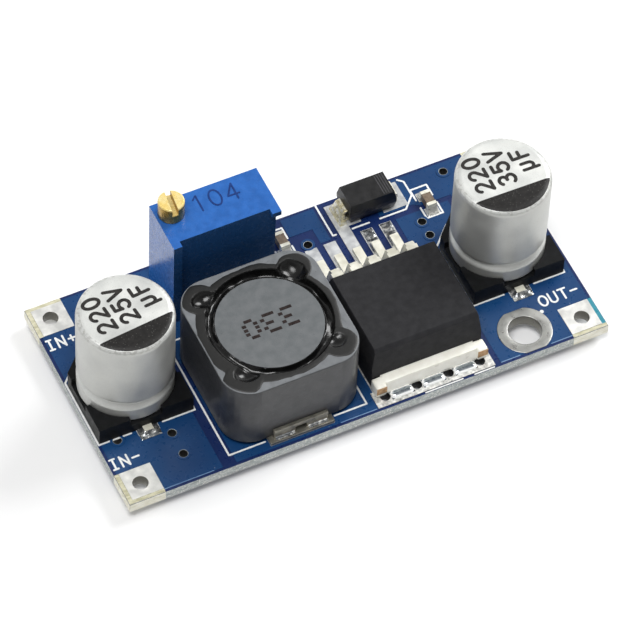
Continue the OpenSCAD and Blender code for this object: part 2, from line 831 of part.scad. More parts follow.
// The clip's foot lies under the shield and its tab stands against the shield's face
module inductor_clip(s) {
    foot_l = clip_foot_in + clip_foot_out;
    color(tin)
    translate([inductor_x, inductor_y, land_z])
        scale([1, s, 1])
            translate([0, inductor_w / 2, 0])
                difference() {
                    union() {
                        translate([0, clip_foot_out - foot_l / 2, 0])
                            block(clip_foot_w, foot_l, clip_t);
                        translate([0, clip_t / 2, 0])
                            block(clip_tab_w, clip_t, clip_t + clip_tab_h);
                    }
                    translate([0, clip_t, clip_t])
                        block(clip_notch_w, 2 * clip_t, clip_notch_h);
                }
}

// Side outline of the moulded body, front face first
module ic_side_outline() {
    polygon([
        [0, 0],
        [0, tab_t],
        [ic_front_lean - ic_bevel, ic_h - ic_bevel],
        [ic_front_lean, ic_h],
        [ic_d - ic_back_lean, ic_h],
        [ic_d, ic_lead_z + ic_lead_t / 2],
        [ic_d, ic_lead_z - ic_lead_t / 2],
        [ic_d - ic_back_lean / 2, 0],
    ]);
}

module ic_front_outline() {
    polygon([
        [-ic_w / 2, 0],
        [ic_w / 2, 0],
        [ic_w / 2, ic_lead_z],
        [ic_top_w / 2, ic_h],
        [-ic_top_w / 2, ic_h],
        [-ic_w / 2, ic_lead_z],
    ]);
}

module ic_slug() {
    translate([0, slug_d / 2, 0])
        block(slug_w, slug_d, tab_t);
}

module ic_body() {
    color([0.18, 0.18, 0.19])
    difference() {
        translate([ic_x, ic_y, land_z])
            difference() {
                intersection() {
                    along_x(2 * ic_w)
                        ic_side_outline();
                    along_y(4 * ic_d)
                        ic_front_outline();
                }
                ic_slug();
            }
        for (i = [1 : 5])
            lead_root(i);
    }
}

// The tab's front edge steps back between the stubs of its cut tie bars
module ic_tab() {
    color(cream_tin)
    translate([ic_x, ic_y, land_z]) {
        ic_slug();
        translate([0, (tab_step - tab_ear) / 2, 0])
            block(tab_w, tab_ear - tab_step, tab_t);
        for (s = [-1, 1])
            translate([s * (tab_w - tab_stub_w) / 2, -tab_ear / 2, 0])
                block(tab_stub_w, tab_ear, tab_t);
    }
}

// The part of a lead that the body holds
module lead_root(i) {
    translate([lead_x(i), ic_back_y - ic_root_l / 2, land_z + ic_lead_z - ic_lead_t / 2])
        block(ic_shoulder_w, ic_root_l, ic_lead_t);
}

// A lead leaves the body level, slopes down to the board and ends in a flat foot
module ic_lead(i) {
    path = [
        [0, ic_lead_z],
        [ic_shoulder_l, ic_lead_z],
        [ic_shoulder_l + ic_lead_run, ic_lead_t / 2],
        [ic_lead_reach, ic_lead_t / 2],
    ];
    color(cream_tin) {
        lead_root(i);
        translate([lead_x(i), ic_back_y, land_z]) {
            along_x(ic_lead_w)
                polygon(strip(bent(path), ic_lead_t));
            translate([0, (ic_shoulder_l - bend_cut) / 2, ic_lead_z - ic_lead_t / 2])
                block(ic_shoulder_w, ic_shoulder_l - bend_cut, ic_lead_t);
        }
    }
}

// Outline of the diode's body across one direction, leaning in above and below its middle
module diode_outline(w) {
    mid = (diode_h + diode_lead_t) / 2;
    polygon([
        [-w / 2 + diode_lean, diode_lead_t],
        [w / 2 - diode_lean, diode_lead_t],
        [w / 2, mid - diode_lead_t],
        [w / 2, mid + diode_lead_t],
        [w / 2 - diode_lean, diode_h],
        [-w / 2 + diode_lean, diode_h],
        [-w / 2, mid + diode_lead_t],
        [-w / 2, mid - diode_lead_t],
    ]);
}

module diode_body() {
    color([0.15, 0.15, 0.16])
    difference() {
        translate([diode_x, diode_y, land_z])
            intersection() {
                along_y(2 * diode_w)
                    diode_outline(diode_l);
                along_x(2 * diode_l)
                    diode_outline(diode_w);
            }
        for (s = [-1, 1])
            diode_lead(s);
    }
}

// A lead leaves the end of the body and folds down and back under it
module diode_lead(s) {
    mid = (diode_h + diode_lead_t) / 2;
    level = diode_lead_t / 2;
    path = [
        [diode_l / 2 - diode_root_l, mid],
        [diode_lead_end - level, mid],
        [diode_lead_end - level, level],
        [diode_l / 2 - diode_lead_in, level],
    ];
    color(tin)
    translate([diode_x, diode_y, land_z])
        scale([s, 1, 1])
            along_y(diode_lead_w)
                polygon(strip(bent(path), diode_lead_t));
}

module chip_body(x, y, h, shade) {
    color(shade)
    translate([x, y, land_z + chip_plating_t])
        block(chip_w, chip_l - 2 * chip_plating_t, h);
}

// Metal ends that wrap the chip's body
module chip_ends(x, y, h) {
    color(tin)
    difference() {
        for (s = [-1, 1])
            translate([x, y + s * (chip_l - chip_end_l) / 2, land_z])
                block(chip_w + 2 * chip_plating_t, chip_end_l, h + 2 * chip_plating_t);
        chip_body(x, y, h, tin);
    }
}

module trimmer_place() {
    translate([trimmer_x, trimmer_y, board_t])
        children();
}

// The front face has a panel between a post and a lip, open to the housing's top
module trimmer_panel() {
    front = -trimmer_d / 2;
    translate([-trimmer_w / 2 + panel_post_w, front - cut, -cut])
        cube([trimmer_w - panel_post_w - panel_lip_w, cut + panel_t, trimmer_h + 2 * cut]);
    translate([-trimmer_w / 2 + panel_post_w, front - cut, -cut])
        cube([trimmer_w, cut + panel_t, trimmer_h - panel_lip_h + cut]);
    translate([trimmer_w / 2 - panel_end_t, front - cut, -cut])
        cube([cut, trimmer_d + 2 * cut, trimmer_h - panel_lip_h + cut]);
}

// Space inside the housing, up to a height over its foot
module trimmer_cavity(from_z, to_z) {
    translate([cavity_left, cavity_front, from_z])
        cube([cavity_right - cavity_left, cavity_back - cavity_front, to_z - from_z]);
}

module trimmer_housing() {
    color(trimmer_blue)
    trimmer_place()
        difference() {
            block(trimmer_w, trimmer_d, trimmer_h);
            trimmer_panel();
            trimmer_cavity(-cut, roof_z);
            translate([0, 0, -cut]) {
                block(trimmer_w - 2 * trimmer_foot_w, trimmer_d + cut, cut + trimmer_foot_h);
                block(trimmer_w + cut, trimmer_d - 2 * trimmer_foot_w, cut + trimmer_foot_h);
            }
            translate([screw_x, screw_y, 0]) {
                cylinder(d = screw_neck_d + 2 * screw_fit, h = trimmer_h + cut);
                translate([0, 0, roof_z])
                    cylinder(d = seal_pocket_d, h = seal_pocket_h);
            }
        }
}

// A slotted head, a neck through the roof, a collar, the threaded shaft and its journal
module trimmer_screw() {
    head_z = trimmer_h + screw_fit;
    collar_z = roof_z + screw_fit;
    shaft_z = potting_top + screw_fit;
    journal_z = shaft_z - screw_journal_h;
    head_r = screw_head_d / 2;
    color("goldenrod")
    trimmer_place()
        translate([screw_x, screw_y, 0]) {
            difference() {
                translate([0, 0, head_z])
                    rotate_extrude()
                        polygon([
                            [0, 0],
                            [head_r, 0],
                            [head_r, screw_head_h - screw_head_bevel],
                            [head_r - screw_head_bevel, screw_head_h],
                            [0, screw_head_h],
                        ]);
                translate([0, 0, head_z + screw_head_h - screw_slot_h])
                    rotate(screw_slot_turn)
                        block(2 * screw_head_d, screw_slot_w, screw_slot_h + cut);
            }
            translate([0, 0, collar_z])
                cylinder(d = screw_neck_d, h = head_z - collar_z);
            translate([0, 0, collar_z])
                cylinder(d = screw_collar_d, h = screw_collar_h);
            translate([0, 0, shaft_z])
                cylinder(d = screw_shaft_d, h = collar_z - shaft_z);
            translate([0, 0, journal_z])
                cylinder(d = screw_journal_d, h = screw_journal_h);
        }
}

module trimmer_seal() {
    seal_r = seal_d / 2;
    color([0.6, 0.25, 0.2])
    trimmer_place()
        translate([screw_x, screw_y, roof_z + seal_pocket_h - screw_fit - seal_r])
            rotate_extrude()
                translate([screw_neck_d / 2 + 2 * screw_fit + seal_r - screw_fit / 2, 0])
                    circle(seal_r);
}

// The carriage rides on half of the screw's shaft
module trimmer_carriage() {
    color("ivory")
    trimmer_place()
        translate([0, 0, carriage_z - carriage_h / 2])
            difference() {
                translate([carriage_x, carriage_y, 0])
                    cube([carriage_l, cavity_back - carriage_fit - carriage_y, carriage_h]);
                translate([screw_x, screw_y, -cut])
                    cylinder(d = screw_shaft_d + 2 * screw_fit, h = carriage_h + 2 * cut);
            }
}

// A bent spring strip from the carriage to the element
module trimmer_wiper() {
    end = carriage_x + carriage_l;
    seat = carriage_y - wiper_t / 2;
    touch = -pin_t / 2 + wiper_fit + wiper_t / 2;
    path = [
        [end - carriage_l / 2, seat],
        [end - carriage_l / 4, seat],
        [end, touch],
        [end + carriage_l / 4, touch],
    ];
    color("gold")
    trimmer_place()
        translate([0, 0, carriage_z - wiper_h / 2])
            linear_extrude(wiper_h)
                polygon(strip(bent(path), wiper_t));
}

module trimmer_element() {
    bottom = potting_top - element_slot;
    color("white")
    trimmer_place()
        translate([cavity_left + element_fit, element_y, bottom])
            cube([cavity_right - cavity_left - 2 * element_fit, element_t, roof_z - element_fit - bottom]);
}

module trimmer_pin(i) {
    color(tin)
    translate([trimmer_x + pin_xs[i - 1], trimmer_y, -pin_tail])
        block(pin_w, pin_t, pin_tail + board_t + potting_top + pin_top);
}

module trimmer_potting() {
    color("darkslateblue")
    difference() {
        trimmer_place()
            difference() {
                trimmer_cavity(trimmer_foot_h, potting_top);
                translate([screw_x, screw_y, potting_top - screw_journal_h])
                    cylinder(d = screw_journal_d + 2 * screw_fit, h = screw_journal_h + cut);
            }
        trimmer_element();
        for (i = [1 : 3])
            trimmer_pin(i);
    }
}

// Solder that fills each pin's hole and climbs the pin under the board
module trimmer_solder() {
    hole_r = pin_hole_d / 2;
    color(solder_grey)
    difference() {
        for (x = pin_xs)
            translate([trimmer_x + x, trimmer_y, 0])
                rotate_extrude()
                    polygon([
                        [0, board_t],
                        [hole_r, board_t],
                        [hole_r, -copper_t],
                        [pin_land_d / 2 - copper_t, -copper_t],
                        [pin_w, -solder_h / 2],
                        [pin_w * 0.7, -solder_h],
                        [0, -solder_h],
                    ]);
        for (i = [1 : 3])
            trimmer_pin(i);
    }
}

circuit_board();
terminal(-1, 1);  // terminal_in_pos
terminal(-1, -1);  // terminal_in_neg
terminal(1, 1);  // terminal_out_pos
terminal(1, -1);  // terminal_out_neg
mount_ring(1);  // mount_ring_front
mount_ring(-1);  // mount_ring_back
vias();
tab_land();
component_lands();
cap_base(cap_in_x);  // input_cap_base
cap_can(cap_in_x);  // input_cap_can
cap_leads(cap_in_x);  // input_cap_leads
cap_base(cap_out_x);  // output_cap_base
cap_can(cap_out_x);  // output_cap_can
cap_leads(cap_out_x);  // output_cap_leads
inductor_shield();
inductor_drum();
inductor_winding();
inductor_resin();
inductor_clip(-1);  // inductor_clip_front
inductor_clip(1);  // inductor_clip_back
ic_body();
ic_tab();
ic_lead(1);  // ic_lead_1
ic_lead(2);  // ic_lead_2
ic_lead(3);  // ic_lead_3
ic_lead(4);  // ic_lead_4
ic_lead(5);  // ic_lead_5
diode_body();
diode_lead(-1);  // diode_lead_left
diode_lead(1);  // diode_lead_right
chip_body(chip_left_x, chip_left_y, ceramic_h, "tan");  // left_ceramic_body
chip_ends(chip_left_x, chip_left_y, ceramic_h);  // left_ceramic_ends
chip_body(chip_right_x, chip_right_y, ceramic_h, "tan");  // right_ceramic_body
chip_ends(chip_right_x, chip_right_y, ceramic_h);  // right_ceramic_ends
chip_body(chip_left_x, resistor_y, resistor_h, "black");  // resistor_body
chip_ends(chip_left_x, resistor_y, resistor_h);  // resistor_ends
trimmer_housing();
trimmer_screw();
trimmer_seal();
trimmer_carriage();
trimmer_wiper();
trimmer_element();
trimmer_potting();
trimmer_pin(1);  // trimmer_pin_1
trimmer_pin(2);  // trimmer_pin_2
trimmer_pin(3);  // trimmer_pin_3
trimmer_solder();
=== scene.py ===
"""Dresses the boost converter module: looks, print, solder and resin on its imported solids.

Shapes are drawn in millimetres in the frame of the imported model, and scaled to metres when made.
"""

import json
from math import acos, atan2, copysign, cos, degrees, exp, hypot, pi, radians, sin, sqrt

import bmesh
import bpy
from mathutils import Matrix, Vector, noise


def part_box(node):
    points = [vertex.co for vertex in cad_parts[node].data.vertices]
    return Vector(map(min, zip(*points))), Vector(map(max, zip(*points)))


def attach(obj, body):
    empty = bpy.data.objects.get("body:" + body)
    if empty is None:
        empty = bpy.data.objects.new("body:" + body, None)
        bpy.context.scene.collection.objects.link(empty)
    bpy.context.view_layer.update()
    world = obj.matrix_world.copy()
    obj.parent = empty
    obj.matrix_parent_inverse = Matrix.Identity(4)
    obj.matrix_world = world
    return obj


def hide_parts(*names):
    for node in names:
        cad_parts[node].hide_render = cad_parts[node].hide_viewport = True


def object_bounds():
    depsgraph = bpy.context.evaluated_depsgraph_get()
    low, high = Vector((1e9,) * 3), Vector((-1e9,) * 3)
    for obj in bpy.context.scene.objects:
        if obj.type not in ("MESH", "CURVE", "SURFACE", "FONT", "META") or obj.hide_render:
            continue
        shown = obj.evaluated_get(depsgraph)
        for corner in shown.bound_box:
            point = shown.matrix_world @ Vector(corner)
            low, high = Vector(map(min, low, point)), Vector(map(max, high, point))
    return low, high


MM = 0.001

# The photograph's view in degrees and millimetres, and its least depth in metres
VIEW_AZIMUTH = -28.1405
VIEW_ELEVATION = 53.9698
VIEW_ROLL = 3.1263
VIEW_DISTANCE = 392.305
VIEW_TARGET = (0.1657, -0.2875, 1.0)
SENSOR = 36.0
LENS = 269.64
NEAR = 0.01

# Thickness of ink and of lacquer over copper, and lifts of a film and of a stroke over the last
INK = 0.02
POUR = 0.03
FILM = 0.006
OVERLAP = 0.001

# Width of the tin round a mounting hole, and the height of its dome
RING_WIDTH = 0.9
DOME = 0.03

# Width of the board's white lines, in general, at its front edge and in its lettering
LINE = 0.155
EDGE_LINE = 0.11
STROKE = 0.17

# Brightness of the surround at the horizon and overhead, and the height share where it turns
SKY_LOW = 1.0
SKY_HIGH = 0.35
SKY_TURN = 0.7

# Share of that brightness in front of the object, and the range where it grows to all
SKY_FRONT = 0.45
SKY_SIDES = (-0.7, 0.2)

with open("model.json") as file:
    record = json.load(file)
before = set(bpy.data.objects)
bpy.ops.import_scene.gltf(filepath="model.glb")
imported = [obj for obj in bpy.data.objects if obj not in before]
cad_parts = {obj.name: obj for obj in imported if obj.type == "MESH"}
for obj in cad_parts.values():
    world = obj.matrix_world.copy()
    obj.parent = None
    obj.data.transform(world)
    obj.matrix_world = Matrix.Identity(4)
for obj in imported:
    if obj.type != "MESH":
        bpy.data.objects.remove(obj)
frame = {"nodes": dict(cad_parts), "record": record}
cad_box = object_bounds()


def box(node):
    """Lowest and highest corner of a solid, in millimetres."""
    low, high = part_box(node)
    return low / MM, high / MM


def middle(node):
    """Centre of a solid's box, in millimetres."""
    low, high = box(node)
    return (low + high) / 2


BOARD_LOW, BOARD_HIGH = box("circuit_board")
TOP = BOARD_HIGH.z
LAND = box("tab_land")[1].z
PRINT = TOP + POUR + INK
TERMINALS = [n for n in frame["nodes"] if n.startswith("terminal_")]
MOUNT_RINGS = ("mount_ring_front", "mount_ring_back")


def tint(code):
    """A colour from its usual six-digit code, as linear light."""
    parts = [int(code[i:i + 2], 16) / 255 for i in (0, 2, 4)]
    return (*(p / 12.92 if p <= 0.04045 else ((p + 0.055) / 1.055) ** 2.4 for p in parts), 1.0)


# Looks by name; a slot's look has the slot's name
LOOKS = {}


class Graph:
    """A tree of shader nodes under construction."""

    def __init__(self, tree):
        self.tree = tree

    def put(self, socket, value):
        """Sets a socket to a value or a colour code, or links it to an output."""
        if isinstance(value, bpy.types.NodeSocket):
            self.tree.links.new(value, socket)
        else:
            socket.default_value = tint(value) if isinstance(value, str) else value

    def node(self, kind, inputs=None, **settings):
        """A new node, with its inputs given by name or number."""
        made = self.tree.nodes.new("ShaderNode" + kind)
        for name, value in settings.items():
            setattr(made, name, value)
        for name, value in (inputs or {}).items():
            self.put(made.inputs[name], value)
        return made

    def level(self, factor, source, target=(0, 1), **settings):
        """Maps a range of values to another, held at its ends."""
        return self.node("MapRange", {
            "Value": factor, "From Min": source[0], "From Max": source[1],
            "To Min": target[0], "To Max": target[1],
        }, **settings).outputs[0]

    def calc(self, operation, a, b):
        return self.node("Math", {0: a, 1: b}, operation=operation).outputs[0]

    def times(self, a, b):
        return self.calc("MULTIPLY", a, b)

    def plus(self, a, b):
        return self.calc("ADD", a, b)

    def most(self, a, b):
        return self.calc("MAXIMUM", a, b)

    def axis(self, vector, index):
        return self.node("SeparateXYZ", {0: vector}).outputs[index]


class Look(Graph):
    """A procedural material under construction, with lengths in millimetres."""

    def __init__(self, name, metallic=0.0, specular=0.5):
        material = bpy.data.materials.new(name)
        material.use_nodes = True
        LOOKS[name] = material
        super().__init__(material.node_tree)
        self.shader = self.tree.nodes["Principled BSDF"]
        self.set("Metallic", metallic)
        self.set("Specular IOR Level", specular)
        coords = self.node("TexCoord")
        self.normal = coords.outputs["Normal"]
        scaled = self.node("VectorMath", {0: coords.outputs["Object"], "Scale": 1 / MM}, operation="SCALE")
        self.point = scaled.outputs[0]

    def set(self, name, value):
        self.put(self.shader.inputs[name], value)

    def colour(self, value):
        self.set("Base Color", value)

    def grain(self, size, detail=3.0, stretch=(1, 1, 1)):
        """Noise from 0 to 1 with features of a size, drawn out along some axes."""
        squeeze = tuple(1 / s for s in stretch)
        spot = self.node("VectorMath", {0: self.point, 1: squeeze}, operation="MULTIPLY").outputs[0]
        return self.node("TexNoise", {"Vector": spot, "Scale": 1 / size, "Detail": detail}).outputs[0]

    def specks(self, size, reach):
        """Sparse round specks: 1 inside a speck, 0 outside."""
        cells = self.node("TexVoronoi", {"Vector": self.point, "Scale": 1 / size})
        return self.level(cells.outputs["Distance"], (reach, 0.6 * reach))

    def mix(self, factor, a, b):
        """A blend of two colours, given as codes or as outputs."""
        return self.node("Mix", {0: factor, 6: a, 7: b}, data_type="RGBA").outputs[2]

    def facing_up(self):
        """1 on faces that look up or down, 0 on side walls."""
        return self.level(self.calc("ABSOLUTE", self.axis(self.normal, 2), 0.0), (0.45, 0.75))

    def roughness(self, factor, low, high):
        self.set("Roughness", self.level(factor, (0.3, 0.7), (low, high)))

    def bump(self, height, depth):
        """Relief of a depth in millimetres."""
        made = self.node("Bump", {"Height": height, "Distance": depth * MM, "Strength": 1.0})
        self.set("Normal", made.outputs[0])


def speckled(look, a, b, size):
    """A colour that wanders between two tones."""
    return look.mix(look.level(look.grain(size), (0.35, 0.65)), a, b)


def mask_look(name, dark, light, sawn=True):
    """Lacquer on the board's faces, over a sawn edge of glass laminate."""
    look = Look(name)
    lacquer = speckled(look, dark, light, 5.0)
    dust = look.specks(1.1, 0.045)
    lacquer = look.mix(look.times(dust, 0.35), lacquer, "C9D2DA")
    face = look.facing_up()
    if sawn:
        layers = look.grain(0.12, 3.0, (5, 5, 1))
        edge = look.mix(look.level(layers, (0.36, 0.64)), "99A0A0", "BFC4C2")
        chips = look.level(look.grain(0.12), (0.54, 0.66), (0, 0.75))
        lacquer = look.mix(face, look.mix(chips, edge, "F2F2EC"), lacquer)
    look.colour(lacquer)
    ripple = look.grain(0.5, 2.0)
    look.set("Roughness", look.plus(look.level(face, (0, 1), (0.7, 0.22)), look.times(ripple, 0.14)))
    rough_edge = look.times(look.calc("SUBTRACT", 1.0, face), look.grain(0.1))
    look.bump(look.plus(look.times(ripple, 0.15), rough_edge), 0.03)


def laminate_look():
    """Bare glass laminate at the board's corners."""
    look = Look("bare_laminate")
    weave = look.grain(0.25, 2.0, (3, 1, 1))
    strand = look.level(weave, (0.35, 0.65))
    cut = look.mix(strand, "E2DEC8", "F8F6EA")
    look.colour(look.mix(look.facing_up(), cut, look.mix(strand, "AAA688", "CDC9AE")))
    look.roughness(look.grain(0.3), 0.45, 0.7)
    look.bump(weave, 0.02)


def tin_look(name, a, b, low, high, metallic, scratch=0.01, wall=None, cell=0.8):
    """Tinned metal: cloudy and finely scratched; its walls can take a darker tone, which is painted shade.
    """
    look = Look(name, metallic)
    cloud = look.grain(cell, 4.0)
    tone = look.mix(look.level(cloud, (0.35, 0.68)), a, b)
    # A wall tone darkens side walls and hole walls: painted shade.
    look.colour(look.mix(look.facing_up(), wall, tone) if wall else tone)
    scores = look.most(look.grain(0.05, 2.0, (30, 1, 30)), look.grain(0.06, 2.0, (1, 24, 24)))
    look.roughness(cloud, low, high)
    look.bump(look.plus(scores, cloud), scratch)


def ring_look(node, a, b):
    """Tin that has drawn itself into a low dome round a mounting hole."""
    low, high = box(node)
    radius = (high.x - low.x) / 2
    centre = (middle(node).x, high.y - radius if high.y < 0 else low.y + radius, 0)
    look = Look(node + "_tin", 0.9)
    flat = look.node("VectorMath", {0: look.point, 1: (1, 1, 0)}, operation="MULTIPLY").outputs[0]
    reach = look.node("VectorMath", {0: flat, 1: centre}, operation="DISTANCE").outputs["Value"]
    off = look.level(reach, (radius - RING_WIDTH, radius), (-1, 1))
    # Walls darker than the dome's top: painted shade.
    look.colour(look.mix(look.facing_up(), "77766F", speckled(look, a, b, 0.8)))
    look.roughness(look.grain(0.6), 0.26, 0.36)
    look.bump(look.calc("SUBTRACT", look.times(look.grain(0.4), 0.06), look.times(off, off)), DOME)


def solder_look(name, a, b, rough, depth, metallic):
    """Bright solder with a wavy skin, and freckles that are partly dull flux and partly painted
    reflection.
    """
    look = Look(name, metallic)
    # Two-tone patches: partly flux, partly painted reflection on the bright solder.
    flux_and_reflection_patches = look.level(look.grain(0.35), (0.45, 0.65))
    look.colour(look.mix(flux_and_reflection_patches, a, b))
    look.roughness(look.grain(0.3, 2.0), rough, rough + 0.22)
    look.bump(look.grain(0.3, 2.0), depth)


def pool_look():
    """A pool of solder: glassy; grey in its middle and white round its rim, a painted reflection that
    follows its slope.
    """
    look = Look("pooled_solder")
    # Tone and metal follow the slope: a painted reflection, grey where it faces up and white at the rim.
    painted_reflection_by_slope = look.level(look.axis(look.normal, 2), (0.84, 0.97))
    grey = speckled(look, "8E98A2", "B4BCC2", 0.3)
    look.colour(look.mix(painted_reflection_by_slope, "FAFBFA", grey))
    look.set("Metallic", look.level(painted_reflection_by_slope, (0, 1), (0.1, 0.9)))
    look.roughness(look.grain(0.3, 2.0), 0.05, 0.12)
    look.bump(look.grain(0.3, 2.0), 0.006)


def can_look():
    """Satin drawn aluminium with draw lines, grit, small dents and a worn rim."""
    look = Look("can_aluminium")
    lines = look.grain(0.09, 3.0, (1, 1, 60))
    smudge = look.grain(2.2)
    cloud = look.level(smudge, (0.3, 0.7))
    grit = look.grain(0.07, 2.0)
    face = look.facing_up()
    # Tops lighter than the sides: painted light and shade on one metal.
    tone = look.mix(face, look.mix(cloud, "B8B9B6", "C6C7C3"), look.mix(cloud, "CFD1CE", "E4E5E1"))
    tilt = look.axis(look.normal, 2)
    bend = look.times(look.level(tilt, (0.3, 0.5)), look.level(tilt, (0.98, 0.88)))
    top = box("input_cap_can")[1].z
    near_top = look.level(look.axis(look.point, 2), (top - 1.2, top - 0.9), (0, 0.45))
    worn = look.times(look.times(bend, near_top), look.level(look.grain(0.3, 4.0), (0.48, 0.62)))
    dark = look.most(worn, look.level(grit, (0.6, 0.72), (0, 0.35)))
    look.colour(look.mix(dark, tone, "8C8A84"))
    look.set("Metallic", look.level(face, (0, 1), (0.62, 0.5)))
    look.roughness(smudge, 0.36, 0.48)
    pits = look.times(look.specks(1.6, 0.05), -0.6)
    relief = look.plus(look.times(lines, 0.25), look.times(grit, 0.35))
    look.bump(look.plus(relief, pits), 0.015)


def moulded_look(name, dark, light, low, high, grain=0.12, depth=0.008, front=None, specular=0.5):
    """Moulded plastic or compound; its front can take a darker tone, which is painted shade."""
    look = Look(name, specular=specular)
    tone = speckled(look, dark, light, 0.7)
    # A front tone darkens the faces that look forward: painted shade.
    if front:
        tone = look.mix(look.level(look.axis(look.normal, 1), (-0.4, -0.8)), tone, front)
    look.colour(tone)
    look.roughness(look.grain(0.5, 4.0), low, high)
    look.bump(look.grain(grain), depth)


def ferrite_look(name, ground_a, ground_b):
    """Sintered ferrite: ground pale on top, dark and smooth on its sides."""
    look = Look(name)
    side = speckled(look, "242528", "2F3033", 0.9)
    ground = speckled(look, ground_a, ground_b, 0.8)
    face = look.facing_up()
    body = look.mix(face, side, ground)
    pits = look.level(look.grain(0.16, 2.0), (0.68, 0.76))
    look.colour(look.mix(look.times(pits, 0.6), body, "2B2C2E"))
    haze = look.times(look.grain(0.4, 4.0), 0.2)
    look.set("Roughness", look.plus(look.level(face, (0, 1), (0.24, 0.44)), haze))
    look.bump(look.calc("SUBTRACT", look.grain(0.1), pits), 0.01)


def resin_look():
    """Cast resin: glossy in the groove, dull where it has run over the rim."""
    look = Look("black_resin")
    rim = box("inductor_shield")[1].z
    film = look.level(look.axis(look.point, 2), (rim - 0.12, rim + 0.02), (0, 0.8))
    dust = look.level(look.grain(0.9, 4.0), (0.5, 0.72), (0, 0.45))
    dull = look.most(film, dust)
    look.colour(look.mix(dull, "0A0A0A", "161615"))
    look.set("Roughness", look.level(dull, (0, 1), (0.2, 0.46)))
    look.bump(look.grain(0.45, 2.0), 0.012)


def ceramic_look(name, a, b, rough):
    """Fired ceramic with fine specks."""
    look = Look(name)
    look.colour(speckled(look, a, b, 0.18))
    look.roughness(look.grain(0.2), rough - 0.08, rough + 0.1)
    look.bump(look.grain(0.08), 0.006)


def brass_look():
    """Turned brass with tool rings; bright on its end and darker round its side, painted light and shade
    on one metal.
    """
    look = Look("screw_brass")
    rings = look.grain(0.05, 2.0, (40, 40, 1))
    face = look.facing_up()
    side = speckled(look, "8E7238", "B0904C", 0.6)
    look.colour(look.mix(face, side, speckled(look, "FFDF84", "FFECAA", 0.6)))
    look.set("Metallic", look.level(face, (0, 1), (0.9, 0.42)))
    look.roughness(look.grain(0.3), 0.2, 0.36)
    look.bump(rings, 0.006)


def copper_look(name, a, b, metallic=0.9):
    """Bare or enamelled copper with an oxide tint that wanders."""
    look = Look(name, metallic)
    look.colour(speckled(look, a, b, 0.25))
    look.roughness(look.grain(0.2), 0.3, 0.5)
    look.bump(look.grain(0.08, 2.0, (1, 8, 8)), 0.008)


def ink_look(name, a, b, rough=0.6, dust=0.0):
    """Printed ink with pale specks of dust on it."""
    look = Look(name, specular=0.3)
    tone = speckled(look, a, b, 0.35)
    look.colour(look.mix(look.times(look.specks(0.22, 0.2), dust), tone, "D8D6D0"))
    look.roughness(look.grain(0.15), rough - 0.1, rough + 0.1)
    look.bump(look.grain(0.1, 2.0), 0.006)


mask_look("solder_mask", "0B2150", "0E275A")
mask_look("mask_on_copper", "0D3765", "113F6E", sawn=False)
laminate_look()
# The pale edge line: thin lacquer over copper, partly a painted highlight.
mask_look("edge_lacquer_and_highlight", "5F80A8", "7C9ABC", sawn=False)
mask_look("thin_lacquer", "2B7C90", "3F93A2", sawn=False)
# The wall tones below are painted shade on side walls and hole walls.
tin_look("tinned_copper", "D2D2CE", "EEEDE8", 0.28, 0.46, 0.35, wall="8A8880")
tin_look("via_tin", "848C90", "A2A8AA", 0.3, 0.46, 0.4, wall="2E2D2A")
tin_look("pad_tin", "B2B4B6", "D6D7D6", 0.28, 0.46, 0.35, wall="8A8880", cell=0.6)
for ring_node in MOUNT_RINGS:
    ring_look(ring_node, "ACACA9", "C0C0BC")
tin_look("chip_solder", "C0C0BA", "E2E1DA", 0.18, 0.34, 0.6, 0.012)
tin_look("tinned_lead", "DCD9C8", "EFEDE0", 0.3, 0.5, 0.4)
tin_look("clip_tin", "86837A", "A09C90", 0.26, 0.42, 0.8)
tin_look("land_tin", "B4B4B0", "F4F3EE", 0.24, 0.5, 0.4, 0.014, wall="1C1C1B", cell=0.3)
tin_look("tab_tin", "F2F0E4", "FCFBF2", 0.3, 0.45, 0.1, 0.004)
tin_look("solder_fillet", "F0EEE4", "FAF9F1", 0.26, 0.4, 0.05, 0.004)
# Its dark and bright patches are partly flux and partly painted reflection.
solder_look("solder", "84878A", "F6F6F2", 0.1, 0.02, 0.85)
pool_look()
solder_look("fluxed_solder", "D9CFA6", "F4F1E2", 0.2, 0.05, 0.55)
can_look()
moulded_look("black_plastic", "090A0B", "111214", 0.42, 0.56, specular=0.16)
ferrite_look("ferrite", "64676A", "707376")
ferrite_look("drum_ferrite", "565A5C", "616466")
resin_look()
moulded_look("mould_compound", "252527", "2C2C2E", 0.55, 0.66, 0.09, 0.012, specular=0.13)
moulded_look("diode_compound", "0F0F10", "181819", 0.28, 0.4, 0.09)
ceramic_look("ceramic_tan", "655646", "796A5A", 0.4)
ceramic_look("resistor_black", "141415", "232324", 0.3)
# The trimmer's darker front is painted shade from the inductor beside it.
moulded_look("blue_plastic", "2159A2", "2963B0", 0.2, 0.32, 0.25, 0.005, front="1C4270")
brass_look()
copper_look("enamelled_copper", "8E4A22", "B0642F")
copper_look("bare_copper", "AE8760", "CBAA84", 0.6)
moulded_look("seal_rubber", "8A3A2E", "9A4638", 0.5, 0.65)
moulded_look("white_plastic", "DAD8CC", "E6E4DA", 0.4, 0.55)
copper_look("spring_alloy", "C9B57E", "DCCB98", 1.0)
ceramic_look("ceramic_white", "DEDCD2", "ECEAE2", 0.5)
moulded_look("potting", "1B2A66", "24357A", 0.25, 0.4)
ink_look("white_ink", "DCDEDC", "ECEDEB")
ink_look("black_ink", "141312", "2E2B29", 0.5)
ink_look("brown_ink", "1A100E", "281C1A", 0.75)
ink_look("segment_ink", "100F0E", "1E1C1B", 0.46, 0.1)
ink_look("band_ink", "38383A", "47474A")
ink_look("dark_blue_ink", "0C2B66", "113676", 0.4)

